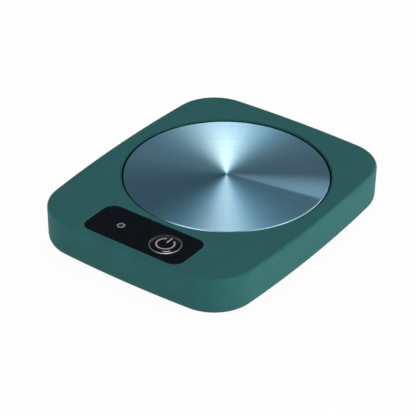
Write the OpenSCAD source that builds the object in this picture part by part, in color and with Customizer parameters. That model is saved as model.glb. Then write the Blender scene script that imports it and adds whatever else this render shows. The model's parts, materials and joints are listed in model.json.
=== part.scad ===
// Electric mug warmer: a flat casing with bowed sides, a round spun heating plate, and a
// glossy control panel with one round push button and one indicator light.
// Millimetres. +Z is up, +Y points to the back, and the panel is at the front (-Y).
// The origin is on the table, below the middle of the casing.

/* [Casing] */
// Width of the casing's top beside the heating plate, on each side
side_band = 7.7; // [7.5:0.05:14]
// Width of the casing's top behind the heating plate
rear_band = 10.4; // [9:0.05:20]
// Height of the closed casing without its feet
casing_h = 16; // [16:0.5:24]
// How far each long side bows out over its length
side_bow = 3.3; // [1:0.1:4.5]
// How far the front and the back bow out over their width
end_bow = 2.4; // [1:0.1:4]
// Corner radius, seen from above
corner_r = 19; // [16:0.5:24]
// Radius along the top edge
top_edge_r = 1.3; // [0.4:0.1:1.6]
// How far the side walls lean in from the top edge to the bottom edge
side_draft = 0.2; // [0.1:0.05:0.4]
// How far the side walls draw in along the bottom edge
base_edge_r = 1.6; // [1:0.1:1.6]
// Height over which the side walls draw in along the bottom edge
base_edge_h = 3; // [1.6:0.2:6]
// Thickness of the side walls
side_wall = 2.2; // [2.1:0.1:2.3]
// Thickness of the top
top_wall = 2.2; // [2:0.1:3]
// Thickness of the bottom cover
base_wall = 1.8; // [1.6:0.1:2.4]

/* [Heating plate] */
// Diameter of the heating plate's disc
plate_d = 84.6; // [76:0.2:96]
// Thickness of the disc
plate_t = 2; // [1.5:0.1:2.6]
// How far the disc's face lies below the casing's top
plate_sink = 0.45; // [0:0.05:0.6]
// Width of the gap round the disc
plate_gap = 0.7; // [0.6:0.05:1]
// Thickness of the plate's skirt
skirt_t = 1.2; // [0.8:0.1:1.6]
// Width of the flange at the foot of the skirt
flange_w = 3.3; // [2.8:0.1:3.6]

/* [Heater] */
// Thickness of the heating film
film_t = 0.5; // [0.3:0.1:0.8]
// Thickness of the insulating pad
pad_t = 3.3; // [3:0.1:4]
// Thickness of the pressed steel backing plate
backing_t = 0.6; // [0.5:0.1:1]
// Radius of the circle on which the plate's studs stand
stud_circle_r = 24; // [20:0.5:28]
// Diameter of the studs
stud_d = 3; // [2.5:0.5:3]

/* [Control panel] */
// Width of the glossy panel
panel_w = 47.6; // [44:0.2:60]
// Depth of the panel from front to back
panel_l = 20.1; // [19:0.1:26]
// Corner radius of the panel
panel_corner_r = 4.6; // [1:0.1:8]
// Thickness of the panel
panel_t = 0.9; // [0.7:0.1:1.1]
// Width of the casing's top in front of the panel and behind it
panel_margin = 3.45; // [3:0.05:6]
// How far the push button and the light each stand from the middle
control_x = 10.9; // [10.5:0.1:12]
// Diameter of the push button over its ring
button_d = 13.3; // [12:0.1:15]
// How far the push button travels
button_travel = 0.5; // [0.2:0.1:0.8]
// Diameter of the printed ring round the indicator light
light_ring_d = 3.4; // [3.4:0.1:5]

/* [Control board] */
// Width of the control board
board_w = 62; // [60:1:62]
// Depth of the control board
board_l = 16.2; // [15.8:0.1:16.6]
// Thickness of the control board
board_t = 1.2; // [0.8:0.1:1.6]
// Height of the switch from the board to the top of its plunger
switch_h = 5; // [4.6:0.1:5.5]

/* [Inlet] */
// Width of the power socket's shell
socket_w = 8.94; // [8.4:0.02:9.4]
// Height of the power socket's shell
socket_h = 3.16; // [3:0.02:3.3]
// Depth of the power socket's shell
socket_l = 7.3; // [6.8:0.1:9]

/* [Feet and screws] */
// Diameter of the rubber feet
foot_d = 10; // [7:0.5:10.5]
// How far the feet stand below the casing
foot_h = 1.2; // [0.8:0.1:2.5]
// Diameter of the casing screws
casing_screw_d = 2.8; // [2.4:0.1:3]

/* [Hidden] */
$fn = 64;
eps = 0.01;          // overshoot of a cut past the face it opens
seat = 0.02;         // side clearance of an inlaid mark
loose = 0.1;         // clearance between parts that are put together
play = 0.15;         // clearance of parts that slide or drop in
press = 0.05;        // clearance of the soft seal

// Casing in plan
plate_r = plate_d / 2;
front_band = panel_l + 2 * panel_margin;
casing_w = plate_d + 2 * side_band;
casing_l = front_band + plate_d + rear_band;
plate_y = casing_l / 2 - rear_band - plate_r;
panel_y = panel_margin + panel_l / 2 - casing_l / 2;

// The outline is four large arcs joined by four corner arcs
side_r = (pow(casing_l / 2, 2) + pow(side_bow, 2)) / (2 * side_bow);
end_r = (pow(casing_w / 2, 2) + pow(end_bow, 2)) / (2 * end_bow);
side_cx = casing_w / 2 - side_r;
end_cy = casing_l / 2 - end_r;
corner_c = circles_meet([side_cx, 0], side_r - corner_r, [0, end_cy], end_r - corner_r);
side_end_a = atan2(corner_c[1], corner_c[0] - side_cx);
end_start_a = atan2(corner_c[1] - end_cy, corner_c[0]);
side_steps = 8;
corner_steps = 12;
end_steps = 6;
edge_steps = 5;

// Heights, from the table up
base_z = foot_h;
floor_z = base_z + base_wall;
top_z = base_z + casing_h;
ceiling_z = top_z - top_wall;
boss_end_z = floor_z + 2.4;

// Heating plate, its seal and its retaining ring
opening_r = plate_r + plate_gap;
rim_round = 0.5;
plate_edge = 0.3;
plate_top_z = top_z - plate_sink;
plate_under_z = plate_top_z - plate_t;
flange_t = 1;
flange_r = plate_r + flange_w;
collar_t = 2;
collar_h = 2.4;
collar_end_z = ceiling_z - collar_h;
seal_t = 0.8;
seal_drop = 1.6;
seal_lip_t = 0.15;
flange_z = collar_end_z - seal_t - flange_t;
skirt_r = plate_r - skirt_t;
ring_t = 1.8;
ring_rim = 1;
ring_z = flange_z - ring_t;
ring_r = flange_r + play + ring_rim;
ear_r = 3.4;
ear_w = 6;
ear_circle_r = ring_r + 2.9;
ear_angles = [38, 142, 222, 318];
ring_screw_d = 2.4;
ring_boss_r = 2.6;
ring_head_d = 4.6;
ring_head_h = 1.5;
ring_screw_l = 5;

// Heater under the plate
film_r = skirt_r - 1.5;
film_z = plate_under_z - film_t;
foil_t = 0.1;
foil_z = film_z - foil_t;
foil_w = 0.7;
foil_in_r = 9;
foil_out_r = film_r - 3.5;
foil_strokes = 28;
foil_gap_a = 40;
foil_pitch_a = (360 - foil_gap_a) / (foil_strokes - 1);
foil_first_a = foil_gap_a / 2 - 90;
pad_z = foil_z - pad_t;
pad_r = skirt_r - 1.2;
backing_z = pad_z - backing_t;
backing_r = skirt_r - 0.5;
backing_rim_h = 1.6;
washer_t = 0.5;
washer_r = 3.2;
washer_z = backing_z - washer_t;
nut_h = 2.4;
nut_af = 5.5;
nut_z = washer_z - nut_h;
stud_z = nut_z - 0.5;
stud_angles = [for (k = [2.5, 9.5, 17.5, 24.5]) foil_first_a + k * foil_pitch_a];
sensor_r = 1.6;
sensor_h = 2.6;
sensor_z = foil_z - sensor_h;
terminal_reach = 28;
terminal_y = plate_y - terminal_reach;
terminal_w = 3;
terminal_h = 0.6;
terminal_z = foil_z - terminal_h;
terminal_x = terminal_reach * tan(foil_gap_a / 2);
terminal_r = terminal_reach / cos(foil_gap_a / 2);
fuse_r = 1.2;
fuse_l = 8;
fuse_z = terminal_z - 0.9;
fuse_in_x = 6.7;
window_w = 28;
window_l = 8;

// Control panel and push button
tape_t = 0.15;
panel_sink = 0.08;
panel_z = top_z - panel_sink - panel_t;
pocket_z = panel_z - tape_t;
button_r = button_d / 2;
button_hole_r = button_r + play;
button_ring_w = 0.6;
button_ring_h = 1;
button_ring_top_z = top_z - panel_sink;
button_cap_r = button_r - button_ring_w;
button_edge_z = button_ring_top_z - button_ring_w / 4;
button_crown = 0.3;
button_face_z = button_edge_z + button_crown;
button_bevel = 0.9;
control_y = panel_y - 0.25;
button_flange_w = 0.9;
button_flange_t = 0.8;
button_flange_z = ceiling_z - loose - button_flange_t;
button_skin = 1.3;
button_wall = 1.1;
stem_r = 1.6;
stem_drop = 0.9;
stem_z = button_flange_z - stem_drop;
mark_t = 0.12;
mark_r = 3.6;
mark_stroke = 0.7;
mark_gap_a = 32;
mark_bar = [0.8, 4.4];
light_ring_w = 0.7;
light_pipe_r = light_ring_d / 2 - light_ring_w - 0.2;
light_body_r = 1.5;
light_collar_r = 2.3;
light_collar_t = 0.8;

// Control board and what stands on it
board_top_z = stem_z - press - switch_h;
board_z = board_top_z - board_t;
board_y = panel_y - 0.2;
board_rear_y = board_y + board_l / 2;
post_r = 2.1;
post_x = board_w / 2 - 3;
post_y = board_l / 2 - 2.6;
board_screw_d = 1.6;
board_screw_l = 4.5;
board_head_d = 3.4;
board_head_h = 1.2;
switch_w = 6;
switch_body_h = 3.5;
plunger_r = 1.75;
plunger_foot_r = 2.1;
plunger_foot_t = 0.6;
plunger_z = board_top_z + switch_body_h - 1.5;
header_w = 5;
header_l = 4.6;
header_h = 4.4;
header_y = board_rear_y - 0.7 - header_l / 2;
header_x = [post_x - 8, 11.5 - post_x, 5.5 - post_x];
header_pitch = 2.5;
header_wire_z = board_top_z + 1.9;
chip_w = 8.7;
chip_l = 3.9;
chip_h = 1.5;
chip_legs = 7;
chip_pitch = 1.27;
capacitor_d = 4.8;
capacitor_h = 5.2;
led_w = 3;
led_l = 2.6;
led_h = 1.8;
led_gap = 0.4;
light_pipe_z = board_top_z + led_h + led_gap;

// Power inlet at the back
inlet_board_w = 22;
inlet_board_l = 14;
inlet_board_t = 1;
inlet_post_h = 1.2;
inlet_board_z = floor_z + inlet_post_h;
inlet_board_y = casing_l / 2 - side_wall - 0.8 - inlet_board_l / 2;
inlet_post_x = 8;
inlet_post_y = inlet_board_y - 3.5;
inlet_post_r = 2.1;
inlet_screw_d = 1.6;
inlet_screw_l = 2.6;
inlet_head_d = 3.2;
inlet_head_h = 1.1;
socket_z = inlet_board_z + inlet_board_t + socket_h / 2;
socket_mouth_y = casing_l / 2 - 0.6;
socket_y = socket_mouth_y - socket_l;
socket_wall = 0.3;
socket_block_l = 2.6;
tongue_w = 6.6;
tongue_t = 0.7;
tongue_short = 0.9;
contact_w = 0.3;
contact_t = 0.06;
contact_pitch = 0.9;
contacts = 6;
inlet_play = 0.3;

// Bottom cover, its screws and its feet
cover_gap = 0.2;
cover_post_r = 4.2;
boss_r = 3;
boss_inset = side_wall + cover_post_r + cover_gap;
casing_head_d = 5.2;
casing_head_h = 1.5;
casing_screw_l = 8;
screw_seat_z = floor_z;
rib_t = 1.4;
stop_d = 1.4;
stop_h = 4;
stop_x = 24;
stop_y = 20;
foot_inset = boss_inset + casing_head_d / 2 + foot_d / 2 + 2;
foot_sunk = 0.8;
foot_chamfer = 0.5;
vent_w = 2;
vent_l = 34;
vent_pitch = 6;
vents = 7;
label_w = 46;
label_l = 20;
label_sunk = 0.3;
label_y = panel_y + 18;
driver_w = 0.5;

// Leads: outside radii, and the height at which they lie on the floor
power_lead_r = 0.7;
sensor_lead_r = 0.45;
link_r = 0.35;
lead_sides = 8;
lead_steps = 2;
lay_z = floor_z + power_lead_r + 0.2;
sensor_lay_z = floor_z + sensor_lead_r + 0.2;

// Routes, as points chosen by hand between the ends
inlet_pad_x = -3.2;
inlet_pad_pitch = 2.6;
inlet_start_z = inlet_board_z + inlet_board_t + power_lead_r;
inlet_exit_y = inlet_board_y - inlet_board_l / 2;
inlet_route = [[-13, 38, lay_z], [-36, 23, lay_z], [-41, -4, lay_z], [-28.5, -27, lay_z]];
heater_route = [[18.4, -31, lay_z + 0.8], [12.4, -23, lay_z + 0.4]];
fuse_route = [[15.6, -31.5, lay_z + 0.8], [8.6, -23.5, lay_z + 0.4]];
sensor_route = [[-1.4, 5, 5], [-7, -10, sensor_lay_z], [-14, -29, sensor_lay_z]];

// ---------------------------------------------------------------- functions

// The point at the upper right where two circles meet
function circles_meet(c1, r1, c2, r2) =
    let (d = norm(c2 - c1), a = (r1 * r1 - r2 * r2 + d * d) / (2 * d), u = (c2 - c1) / d)
    c1 + a * u + sqrt(r1 * r1 - a * a) * [-u[1], u[0]] * sign(-u[1]);

function arc_points(c, r, a0, a1, steps, first) =
    [for (k = [first:steps]) let (a = a0 + (a1 - a0) * k / steps) c + r * [cos(a), sin(a)]];

function outline_quarter(inset) = concat(
    arc_points([side_cx, 0], side_r - inset, 0, side_end_a, side_steps, 0),
    arc_points(corner_c, corner_r - inset, side_end_a, end_start_a, corner_steps, 1),
    arc_points([0, end_cy], end_r - inset, end_start_a, 90, end_steps, 1)
);

// The casing's outline, moved inwards by inset
function outline(inset) =
    let (q = outline_quarter(inset), n = len(q))
    concat(
        q,
        [for (i = [n - 2:-1:0]) [-q[i][0], q[i][1]]],
        [for (i = [1:n - 1]) [-q[i][0], -q[i][1]]],
        [for (i = [n - 2:-1:1]) [q[i][0], -q[i][1]]]
    );

// Rings as [inset, z] pairs, round the bottom edge and round the top edge
function base_edge_rings() =
    [for (k = [0:edge_steps]) let (a = 90 * k / edge_steps)
        [side_draft + base_edge_r * (1 - sin(a)), base_z + base_edge_h * (1 - cos(a))]];

function top_edge_rings() =
    [for (k = [0:edge_steps]) let (a = 90 * k / edge_steps)
        [top_edge_r * (1 - cos(a)), top_z - top_edge_r * (1 - sin(a))]];

function corner_point(inset) = corner_c + (corner_r - inset) * [cos(45), sin(45)];

function unit(v) = v / norm(v);

function heading(path, i) =
    unit(path[min(i + 1, len(path) - 1)] - path[max(i - 1, 0)]);

// A normal to the path at each point, carried along it without twisting
function normals(path) = [
    for (i = 0, n = unit(cross(heading(path, 0), [0.31, 0.17, 0.93]));
         i < len(path);
         i = i + 1,
         n = i < len(path) ? unit(n - (n * heading(path, i)) * heading(path, i)) : n)
    n
];

// A point of the smooth curve from b to c, which never dips below the lower of the two
function curve_point(a, b, c, d, t) =
    let (q = 0.5 * (2 * b + (c - a) * t + (2 * a - 5 * b + 4 * c - d) * t * t
        + (3 * b - a - 3 * c + d) * t * t * t))
    [q[0], q[1], max(q[2], min(b[2], c[2]))];

// A smooth curve through the points, with straight first and last stretches
function curve(p, steps) =
    let (m = len(p) - 2)
    concat(
        [p[0]],
        [for (i = [1:m - 1]) for (k = [0:steps - 1])
            curve_point(p[i - 1], p[i], p[i + 1], p[i + 2], k / steps)],
        [p[m], p[m + 1]]
    );

// ---------------------------------------------------------------- shared shapes

// A closed skin over rings of the casing's outline, from the lowest ring up
module skin(rings) {
    n = len(outline(0));
    last = (len(rings) - 1) * n;
    polyhedron(
        points = [for (ring = rings) for (p = outline(ring[0])) [p[0], p[1], ring[1]]],
        faces = concat(
            [[for (i = [0:n - 1]) i]],
            [for (k = [0:len(rings) - 2]) for (i = [0:n - 1])
                let (a = k * n + i, b = k * n + (i + 1) % n) [a, a + n, b + n, b]],
            [[for (i = [n - 1:-1:0]) last + i]]
        )
    );
}

// A straight block of the casing's outline
module outline_block(inset, z0, z1) {
    translate([0, 0, z0])
        linear_extrude(z1 - z0)
            polygon(outline(inset));
}

// A flat block with round corners, standing on z = 0
module rounded_block(w, l, h, r) {
    linear_extrude(h)
        union() {
            square([w - 2 * r, l], center = true);
            square([w, l - 2 * r], center = true);
            for (x = [-1, 1], y = [-1, 1])
                translate([x * (w / 2 - r), y * (l / 2 - r)])
                    circle(r);
        }
}

// A slot with round ends that runs along X, standing on z = 0
module slot(length, width, h) {
    linear_extrude(h)
        union() {
            square([length - width, width], center = true);
            for (x = [-1, 1])
                translate([x * (length - width) / 2, 0])
                    circle(width / 2);
        }
}

module tube(r_out, r_in, h) {
    difference() {
        cylinder(r = r_out, h = h);
        translate([0, 0, -1])
            cylinder(r = r_in, h = h + 2);
    }
}

// A wire with flat ends along a list of points
module wire(path, r) {
    n = len(path);
    s = lead_sides;
    up = normals(path);
    polyhedron(
        points = [for (i = [0:n - 1]) let (side = cross(heading(path, i), up[i]))
            for (k = [0:s - 1]) path[i] + r * (cos(360 * k / s) * up[i] + sin(360 * k / s) * side)],
        faces = concat(
            [[for (k = [0:s - 1]) k]],
            [for (i = [0:n - 2]) for (k = [0:s - 1])
                let (a = i * s + k, b = i * s + (k + 1) % s) [a, a + s, b + s, b]],
            [[for (k = [s - 1:-1:0]) (n - 1) * s + k]]
        )
    );
}

// A screw that points up, with its head's seat at z = 0
module screw(d, l, head_d, head_h) {
    difference() {
        union() {
            cylinder(d = d, h = l);
            translate([0, 0, -head_h])
                cylinder(d = head_d, h = head_h);
        }
        translate([0, 0, -head_h])
            for (a = [0, 90])
                rotate(a)
                    cube([head_d * 0.6, driver_w, head_h], center = true);
    }
}

module at_corners(inset) {
    p = corner_point(inset);
    for (x = [0, 1], y = [0, 1])
        mirror([x, 0, 0])
            mirror([0, y, 0])
                translate([p[0], p[1], 0])
                    children();
}

module at_plate() {
    translate([0, plate_y, 0])
        children();
}

module at_polar(r, angles) {
    for (a = angles)
        at_plate()
            rotate(a)
                translate([r, 0, 0])
                    children();
}

module at_board_posts() {
    for (x = [-1, 1], y = [-1, 1])
        translate([x * post_x, board_y + y * post_y, 0])
            children();
}

module at_inlet_posts() {
    for (x = [-1, 1])
        translate([x * inlet_post_x, inlet_post_y, 0])
            children();
}

module at_button() {
    translate([control_x, control_y, 0])
        children();
}

module at_light() {
    translate([-control_x, control_y, 0])
        children();
}

// ---------------------------------------------------------------- casing

module upper_shell() {
    difference() {
        skin(concat(base_edge_rings(), top_edge_rings()));
        outline_block(side_wall, base_z - 1, ceiling_z);
    }
}

module casing_bosses() {
    at_corners(boss_inset) {
        translate([0, 0, boss_end_z])
            cylinder(r = boss_r, h = ceiling_z - boss_end_z + eps);
        rotate(45)
            translate([0, -rib_t / 2, boss_end_z])
                cube([boss_inset - side_wall / 2, rib_t, ceiling_z - boss_end_z + eps]);
    }
    at_polar(ear_circle_r, ear_angles)
        translate([0, 0, flange_z])
            cylinder(r = ring_boss_r, h = ceiling_z - flange_z + eps);
    at_board_posts()
        translate([0, 0, board_top_z])
            cylinder(r = post_r, h = ceiling_z - board_top_z + eps);
}

// Short ribs inside the side walls, on which the bottom cover stops
module cover_stops() {
    for (x = [-1, 1], y = [-1, 1]) {
        translate([x * (casing_w / 2 - side_wall - stop_d / 2), y * stop_y, floor_z + stop_h / 2])
            cube([stop_d + 1, rib_t, stop_h], center = true);
        translate([x * stop_x, y * (casing_l / 2 - side_wall - stop_d / 2), floor_z + stop_h / 2])
            cube([rib_t, stop_d + 1, stop_h], center = true);
    }
}

module casing_bores() {
    at_corners(boss_inset)
        translate([0, 0, boss_end_z - 1])
            cylinder(d = casing_screw_d + 2 * loose, h = casing_screw_l);
    at_polar(ear_circle_r, ear_angles)
        translate([0, 0, flange_z - 1])
            cylinder(d = ring_screw_d + 2 * loose, h = ring_screw_l);
    at_board_posts()
        translate([0, 0, board_top_z - 1])
            cylinder(d = board_screw_d + 2 * loose, h = board_screw_l);
}

// The round opening, with its upper edge rounded in two steps
module plate_opening() {
    lip = rim_round * (1 - cos(45));
    at_plate()
        rotate_extrude($fn = 180)
            polygon([
                [0, collar_end_z - 1],
                [opening_r, collar_end_z - 1],
                [opening_r, top_z - rim_round],
                [opening_r + lip, top_z - lip],
                [opening_r + rim_round, top_z],
                [opening_r + rim_round, top_z + 1],
                [0, top_z + 1]
            ]);
}

module panel_cuts() {
    translate([0, panel_y, pocket_z])
        rounded_block(panel_w + 2 * play, panel_l + 2 * play, 3, panel_corner_r + play);
    at_button()
        translate([0, 0, ceiling_z - 1])
            cylinder(r = button_hole_r, h = 4);
    at_light()
        translate([0, 0, ceiling_z - 1])
            cylinder(r = light_body_r + loose, h = 4);
}

module inlet_cut() {
    translate([0, casing_l / 2 + 1, socket_z])
        rotate([90, 0, 0])
            slot(socket_w + 2 * inlet_play, socket_h + 2 * inlet_play, side_wall + 2);
}

module upper_casing() {
    color("teal")
        difference() {
            union() {
                upper_shell();
                casing_bosses();
                cover_stops();
                at_plate()
                    translate([0, 0, collar_end_z])
                        cylinder(r = opening_r + collar_t, h = collar_h + eps, $fn = 180);
            }
            casing_bores();
            plate_opening();
            panel_cuts();
            inlet_cut();
        }
}

module vent_slots() {
    at_plate()
        for (k = [0:vents - 1])
            translate([0, (k - (vents - 1) / 2) * vent_pitch, base_z - 1])
                slot(vent_l, vent_w, base_wall + 2);
}

module bottom_cover() {
    color("teal")
        difference() {
            union() {
                outline_block(side_wall + cover_gap, base_z, floor_z);
                at_corners(boss_inset)
                    translate([0, 0, base_z + base_wall / 2])
                        cylinder(r = cover_post_r, h = boss_end_z - base_z - base_wall / 2);
                at_inlet_posts()
                    translate([0, 0, floor_z - eps])
                        cylinder(r = inlet_post_r, h = inlet_post_h + eps);
            }
            at_corners(boss_inset) {
                translate([0, 0, base_z - 1])
                    cylinder(d = casing_head_d + 4 * loose, h = screw_seat_z - base_z + 1);
                translate([0, 0, base_z])
                    cylinder(d = casing_screw_d + 4 * loose, h = boss_end_z);
            }
            at_corners(foot_inset)
                translate([0, 0, base_z - 1])
                    cylinder(d = foot_d + 2 * loose, h = foot_sunk + 1);
            at_inlet_posts()
                translate([0, 0, inlet_board_z + inlet_board_t - inlet_screw_l - play])
                    cylinder(d = inlet_screw_d + 2 * loose, h = inlet_screw_l);
            vent_slots();
            translate([0, label_y, base_z - 1])
                rounded_block(label_w, label_l, 1 + label_sunk, 2);
        }
}

module casing_screws() {
    color("silver")
        at_corners(boss_inset)
            translate([0, 0, screw_seat_z])
                screw(casing_screw_d, casing_screw_l, casing_head_d, casing_head_h);
}

module rubber_feet() {
    color("dimgray")
        at_corners(foot_inset) {
            translate([0, 0, foot_chamfer])
                cylinder(d = foot_d, h = base_z + foot_sunk - foot_chamfer);
            cylinder(d1 = foot_d - 2 * foot_chamfer, d2 = foot_d, h = foot_chamfer);
        }
}

// ---------------------------------------------------------------- heating plate

module heating_plate() {
    color("lightsteelblue")
        at_plate()
            rotate_extrude($fn = 180)
                polygon([
                    [0, plate_under_z],
                    [skirt_r, plate_under_z],
                    [skirt_r, flange_z],
                    [flange_r, flange_z],
                    [flange_r, flange_z + flange_t],
                    [plate_r, flange_z + flange_t],
                    [plate_r, plate_top_z - plate_edge],
                    [plate_r - plate_edge, plate_top_z],
                    [0, plate_top_z]
                ]);
}

module plate_seal() {
    color("black")
        at_plate()
            rotate_extrude($fn = 180)
                polygon([
                    [plate_r + press, flange_z + flange_t],
                    [flange_r, flange_z + flange_t],
                    [flange_r, collar_end_z],
                    [opening_r - press, collar_end_z],
                    [opening_r - press, plate_top_z],
                    [opening_r - press - seal_lip_t, plate_top_z],
                    [opening_r - press - seal_lip_t, top_z - seal_drop],
                    [plate_r + press, top_z - seal_drop]
                ]);
}

module retaining_ring() {
    color("darkslategray")
        at_plate() {
            translate([0, 0, ring_z])
                linear_extrude(ring_t)
                    difference() {
                        union() {
                            circle(ring_r, $fn = 180);
                            for (a = ear_angles)
                                rotate(a)
                                    ear_shape();
                        }
                        circle(skirt_r, $fn = 180);
                        for (a = ear_angles)
                            rotate(a)
                                translate([ear_circle_r, 0])
                                    circle(ring_screw_d / 2 + loose);
                    }
            translate([0, 0, flange_z - eps])
                tube(ring_r, flange_r + play, flange_t + eps, $fn = 180);
        }
}

module ear_shape() {
    translate([ear_circle_r, 0])
        circle(ear_r);
    translate([ring_r - 1, -ear_w / 2])
        square([ear_circle_r - ring_r + 1, ear_w]);
}

module ring_screws() {
    color("silver")
        at_polar(ear_circle_r, ear_angles)
            translate([0, 0, ring_z])
                screw(ring_screw_d, ring_screw_l, ring_head_d, ring_head_h);
}

module plate_studs() {
    color("silver")
        at_polar(stud_circle_r, stud_angles)
            translate([0, 0, stud_z])
                cylinder(d = stud_d, h = plate_under_z - stud_z);
}

// ---------------------------------------------------------------- heater

module stud_holes(z, h) {
    at_polar(stud_circle_r, stud_angles)
        translate([0, 0, z])
            cylinder(d = stud_d + 4 * loose, h = h);
}

module heater_film() {
    color("chocolate")
        difference() {
            at_plate()
                translate([0, 0, film_z])
                    cylinder(r = film_r, h = film_t, $fn = 180);
            stud_holes(film_z - 1, film_t + 2);
        }
}

// One trace that runs round the film in radial strokes, between its two terminals
module heater_foil() {
    last = foil_strokes - 1;
    color("darkgoldenrod")
        difference() {
            at_plate()
                translate([0, 0, foil_z])
                    linear_extrude(foil_t)
                        union() {
                            for (k = [0:last])
                                foil_stroke(k, k == 0 || k == last ? terminal_r : foil_in_r);
                            for (k = [0:last - 1])
                                foil_bridge(
                                    foil_first_a + (k + 0.5) * foil_pitch_a,
                                    k % 2 == 0 ? foil_out_r - foil_w / 2 : foil_in_r + foil_w / 2
                                );
                        }
            terminal_blocks();
        }
}

module foil_stroke(k, r) {
    rotate(foil_first_a + k * foil_pitch_a)
        translate([r, -foil_w / 2])
            square([foil_out_r - r, foil_w]);
}

module foil_bridge(a, r) {
    half = r * tan(foil_pitch_a / 2) + foil_w / 4;
    rotate(a)
        translate([r * cos(foil_pitch_a / 2), 0])
            square([foil_w, 2 * half], center = true);
}

module terminal_blocks() {
    for (x = [-terminal_x, terminal_x])
        translate([x, terminal_y, terminal_z + (terminal_h + foil_t) / 2])
            cube([terminal_w, terminal_w, terminal_h + foil_t], center = true);
}

module film_terminals() {
    color("goldenrod")
        terminal_blocks();
}

module insulation_pad() {
    color("whitesmoke")
        difference() {
            at_plate()
                translate([0, 0, pad_z])
                    cylinder(r = pad_r, h = pad_t, $fn = 180);
            stud_holes(pad_z - 1, pad_t + 2);
            at_plate()
                translate([0, 0, pad_z - 1])
                    cylinder(r = sensor_r + loose, h = pad_t + 2);
            translate([-window_w / 2, terminal_y - window_l / 2, pad_z - 1])
                cube([window_w, window_l, pad_t + 2]);
        }
}

module heater_backing() {
    color("gainsboro")
        difference() {
            at_plate()
                translate([0, 0, backing_z]) {
                    cylinder(r = backing_r, h = backing_t, $fn = 180);
                    tube(backing_r, pad_r + loose, backing_t + backing_rim_h, $fn = 180);
                }
            stud_holes(backing_z - 1, backing_t + 2);
            at_plate()
                translate([0, 0, backing_z - 1])
                    cylinder(r = sensor_r + 4 * loose, h = backing_t + 2);
            for (x = [terminal_x, fuse_in_x])
                translate([x, terminal_y, backing_z - 1])
                    cylinder(r = power_lead_r + 5 * loose, h = backing_t + 2);
        }
}

module backing_washers() {
    color("silver")
        at_polar(stud_circle_r, stud_angles)
            translate([0, 0, washer_z])
                tube(washer_r, stud_d / 2 + loose, washer_t);
}

module backing_nuts() {
    color("silver")
        at_polar(stud_circle_r, stud_angles)
            translate([0, 0, nut_z])
                difference() {
                    cylinder(d = nut_af / cos(30), h = nut_h, $fn = 6);
                    translate([0, 0, -1])
                        cylinder(d = stud_d + loose, h = nut_h + 2);
                }
}

module temperature_sensor() {
    color("black")
        at_plate()
            translate([0, 0, sensor_z])
                cylinder(r = sensor_r, h = sensor_h);
}

module thermal_fuse() {
    color("white")
        translate([-fuse_l / 2, terminal_y, fuse_z])
            rotate([0, 90, 0]) {
                cylinder(r = fuse_r, h = fuse_l);
                for (z = [0, fuse_l - 1])
                    translate([0, 0, z])
                        cylinder(r = fuse_r + loose, h = 1);
            }
}

// ---------------------------------------------------------------- control panel

module control_panel() {
    color("black")
        difference() {
            translate([0, panel_y, panel_z])
                rounded_block(panel_w, panel_l, panel_t, panel_corner_r);
            at_button()
                translate([0, 0, panel_z - 1])
                    cylinder(r = button_hole_r, h = panel_t + 2);
            at_light() {
                translate([0, 0, panel_z - 1])
                    cylinder(r = light_pipe_r + press, h = panel_t + 2);
                translate([0, 0, panel_z + panel_t - mark_t])
                    tube(light_ring_d / 2 + seat, light_ring_d / 2 - light_ring_w - seat, 1);
            }
        }
}

module panel_tape() {
    color("lightgray")
        difference() {
            translate([0, panel_y, pocket_z])
                rounded_block(panel_w - 1, panel_l - 1, tape_t, panel_corner_r - 0.5);
            at_button()
                translate([0, 0, pocket_z - 1])
                    cylinder(r = button_hole_r + 0.5, h = tape_t + 2);
            at_light()
                translate([0, 0, pocket_z - 1])
                    cylinder(r = light_body_r + 0.5, h = tape_t + 2);
        }
}

module indicator_mark() {
    color("silver")
        at_light()
            translate([0, 0, panel_z + panel_t - mark_t])
                tube(light_ring_d / 2, light_ring_d / 2 - light_ring_w, mark_t);
}

module light_pipe() {
    color("lightgray")
        at_light() {
            translate([0, 0, panel_z])
                cylinder(r = light_pipe_r, h = panel_t - press);
            translate([0, 0, light_pipe_z])
                cylinder(r = light_body_r, h = panel_z - light_pipe_z);
            translate([0, 0, ceiling_z - light_collar_t])
                cylinder(r = light_collar_r, h = light_collar_t);
        }
}

// ---------------------------------------------------------------- push button

module power_shape(grow) {
    difference() {
        circle(mark_r + mark_stroke / 2 + grow);
        circle(mark_r - mark_stroke / 2 - grow);
        polygon([
            [0, 0],
            8 * [sin(mark_gap_a), cos(mark_gap_a)],
            8 * [-sin(mark_gap_a), cos(mark_gap_a)]
        ]);
    }
    translate([-mark_stroke / 2 - grow, mark_bar[0] - grow])
        square([mark_stroke + 2 * grow, mark_bar[1] - mark_bar[0] + 2 * grow]);
}

module power_button() {
    color("black")
        at_button()
            difference() {
                rotate_extrude()
                    polygon([
                        [0, stem_z],
                        [stem_r, stem_z],
                        [stem_r, button_face_z - button_skin],
                        [button_cap_r - button_wall, button_face_z - button_skin],
                        [button_cap_r - button_wall, button_flange_z],
                        [button_r + button_flange_w, button_flange_z],
                        [button_r + button_flange_w, button_flange_z + button_flange_t],
                        [button_r, button_flange_z + button_flange_t],
                        [button_r, button_ring_top_z - button_ring_h],
                        [button_cap_r, button_ring_top_z - button_ring_h],
                        [button_cap_r, button_edge_z],
                        [button_cap_r - button_bevel / 2, button_face_z - button_crown / 4],
                        [button_cap_r - button_bevel, button_face_z],
                        [0, button_face_z]
                    ]);
                translate([0, 0, button_face_z - mark_t])
                    linear_extrude(1)
                        power_shape(seat);
            }
}

module button_ring() {
    color("silver")
        at_button()
            rotate_extrude()
                polygon([
                    [button_cap_r + seat, button_ring_top_z - button_ring_h],
                    [button_r, button_ring_top_z - button_ring_h],
                    [button_r, button_ring_top_z - button_ring_w / 4],
                    [button_r - button_ring_w / 4, button_ring_top_z],
                    [button_r - button_ring_w / 2, button_ring_top_z],
                    [button_cap_r + seat, button_ring_top_z - button_ring_w / 3]
                ]);
}

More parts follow.
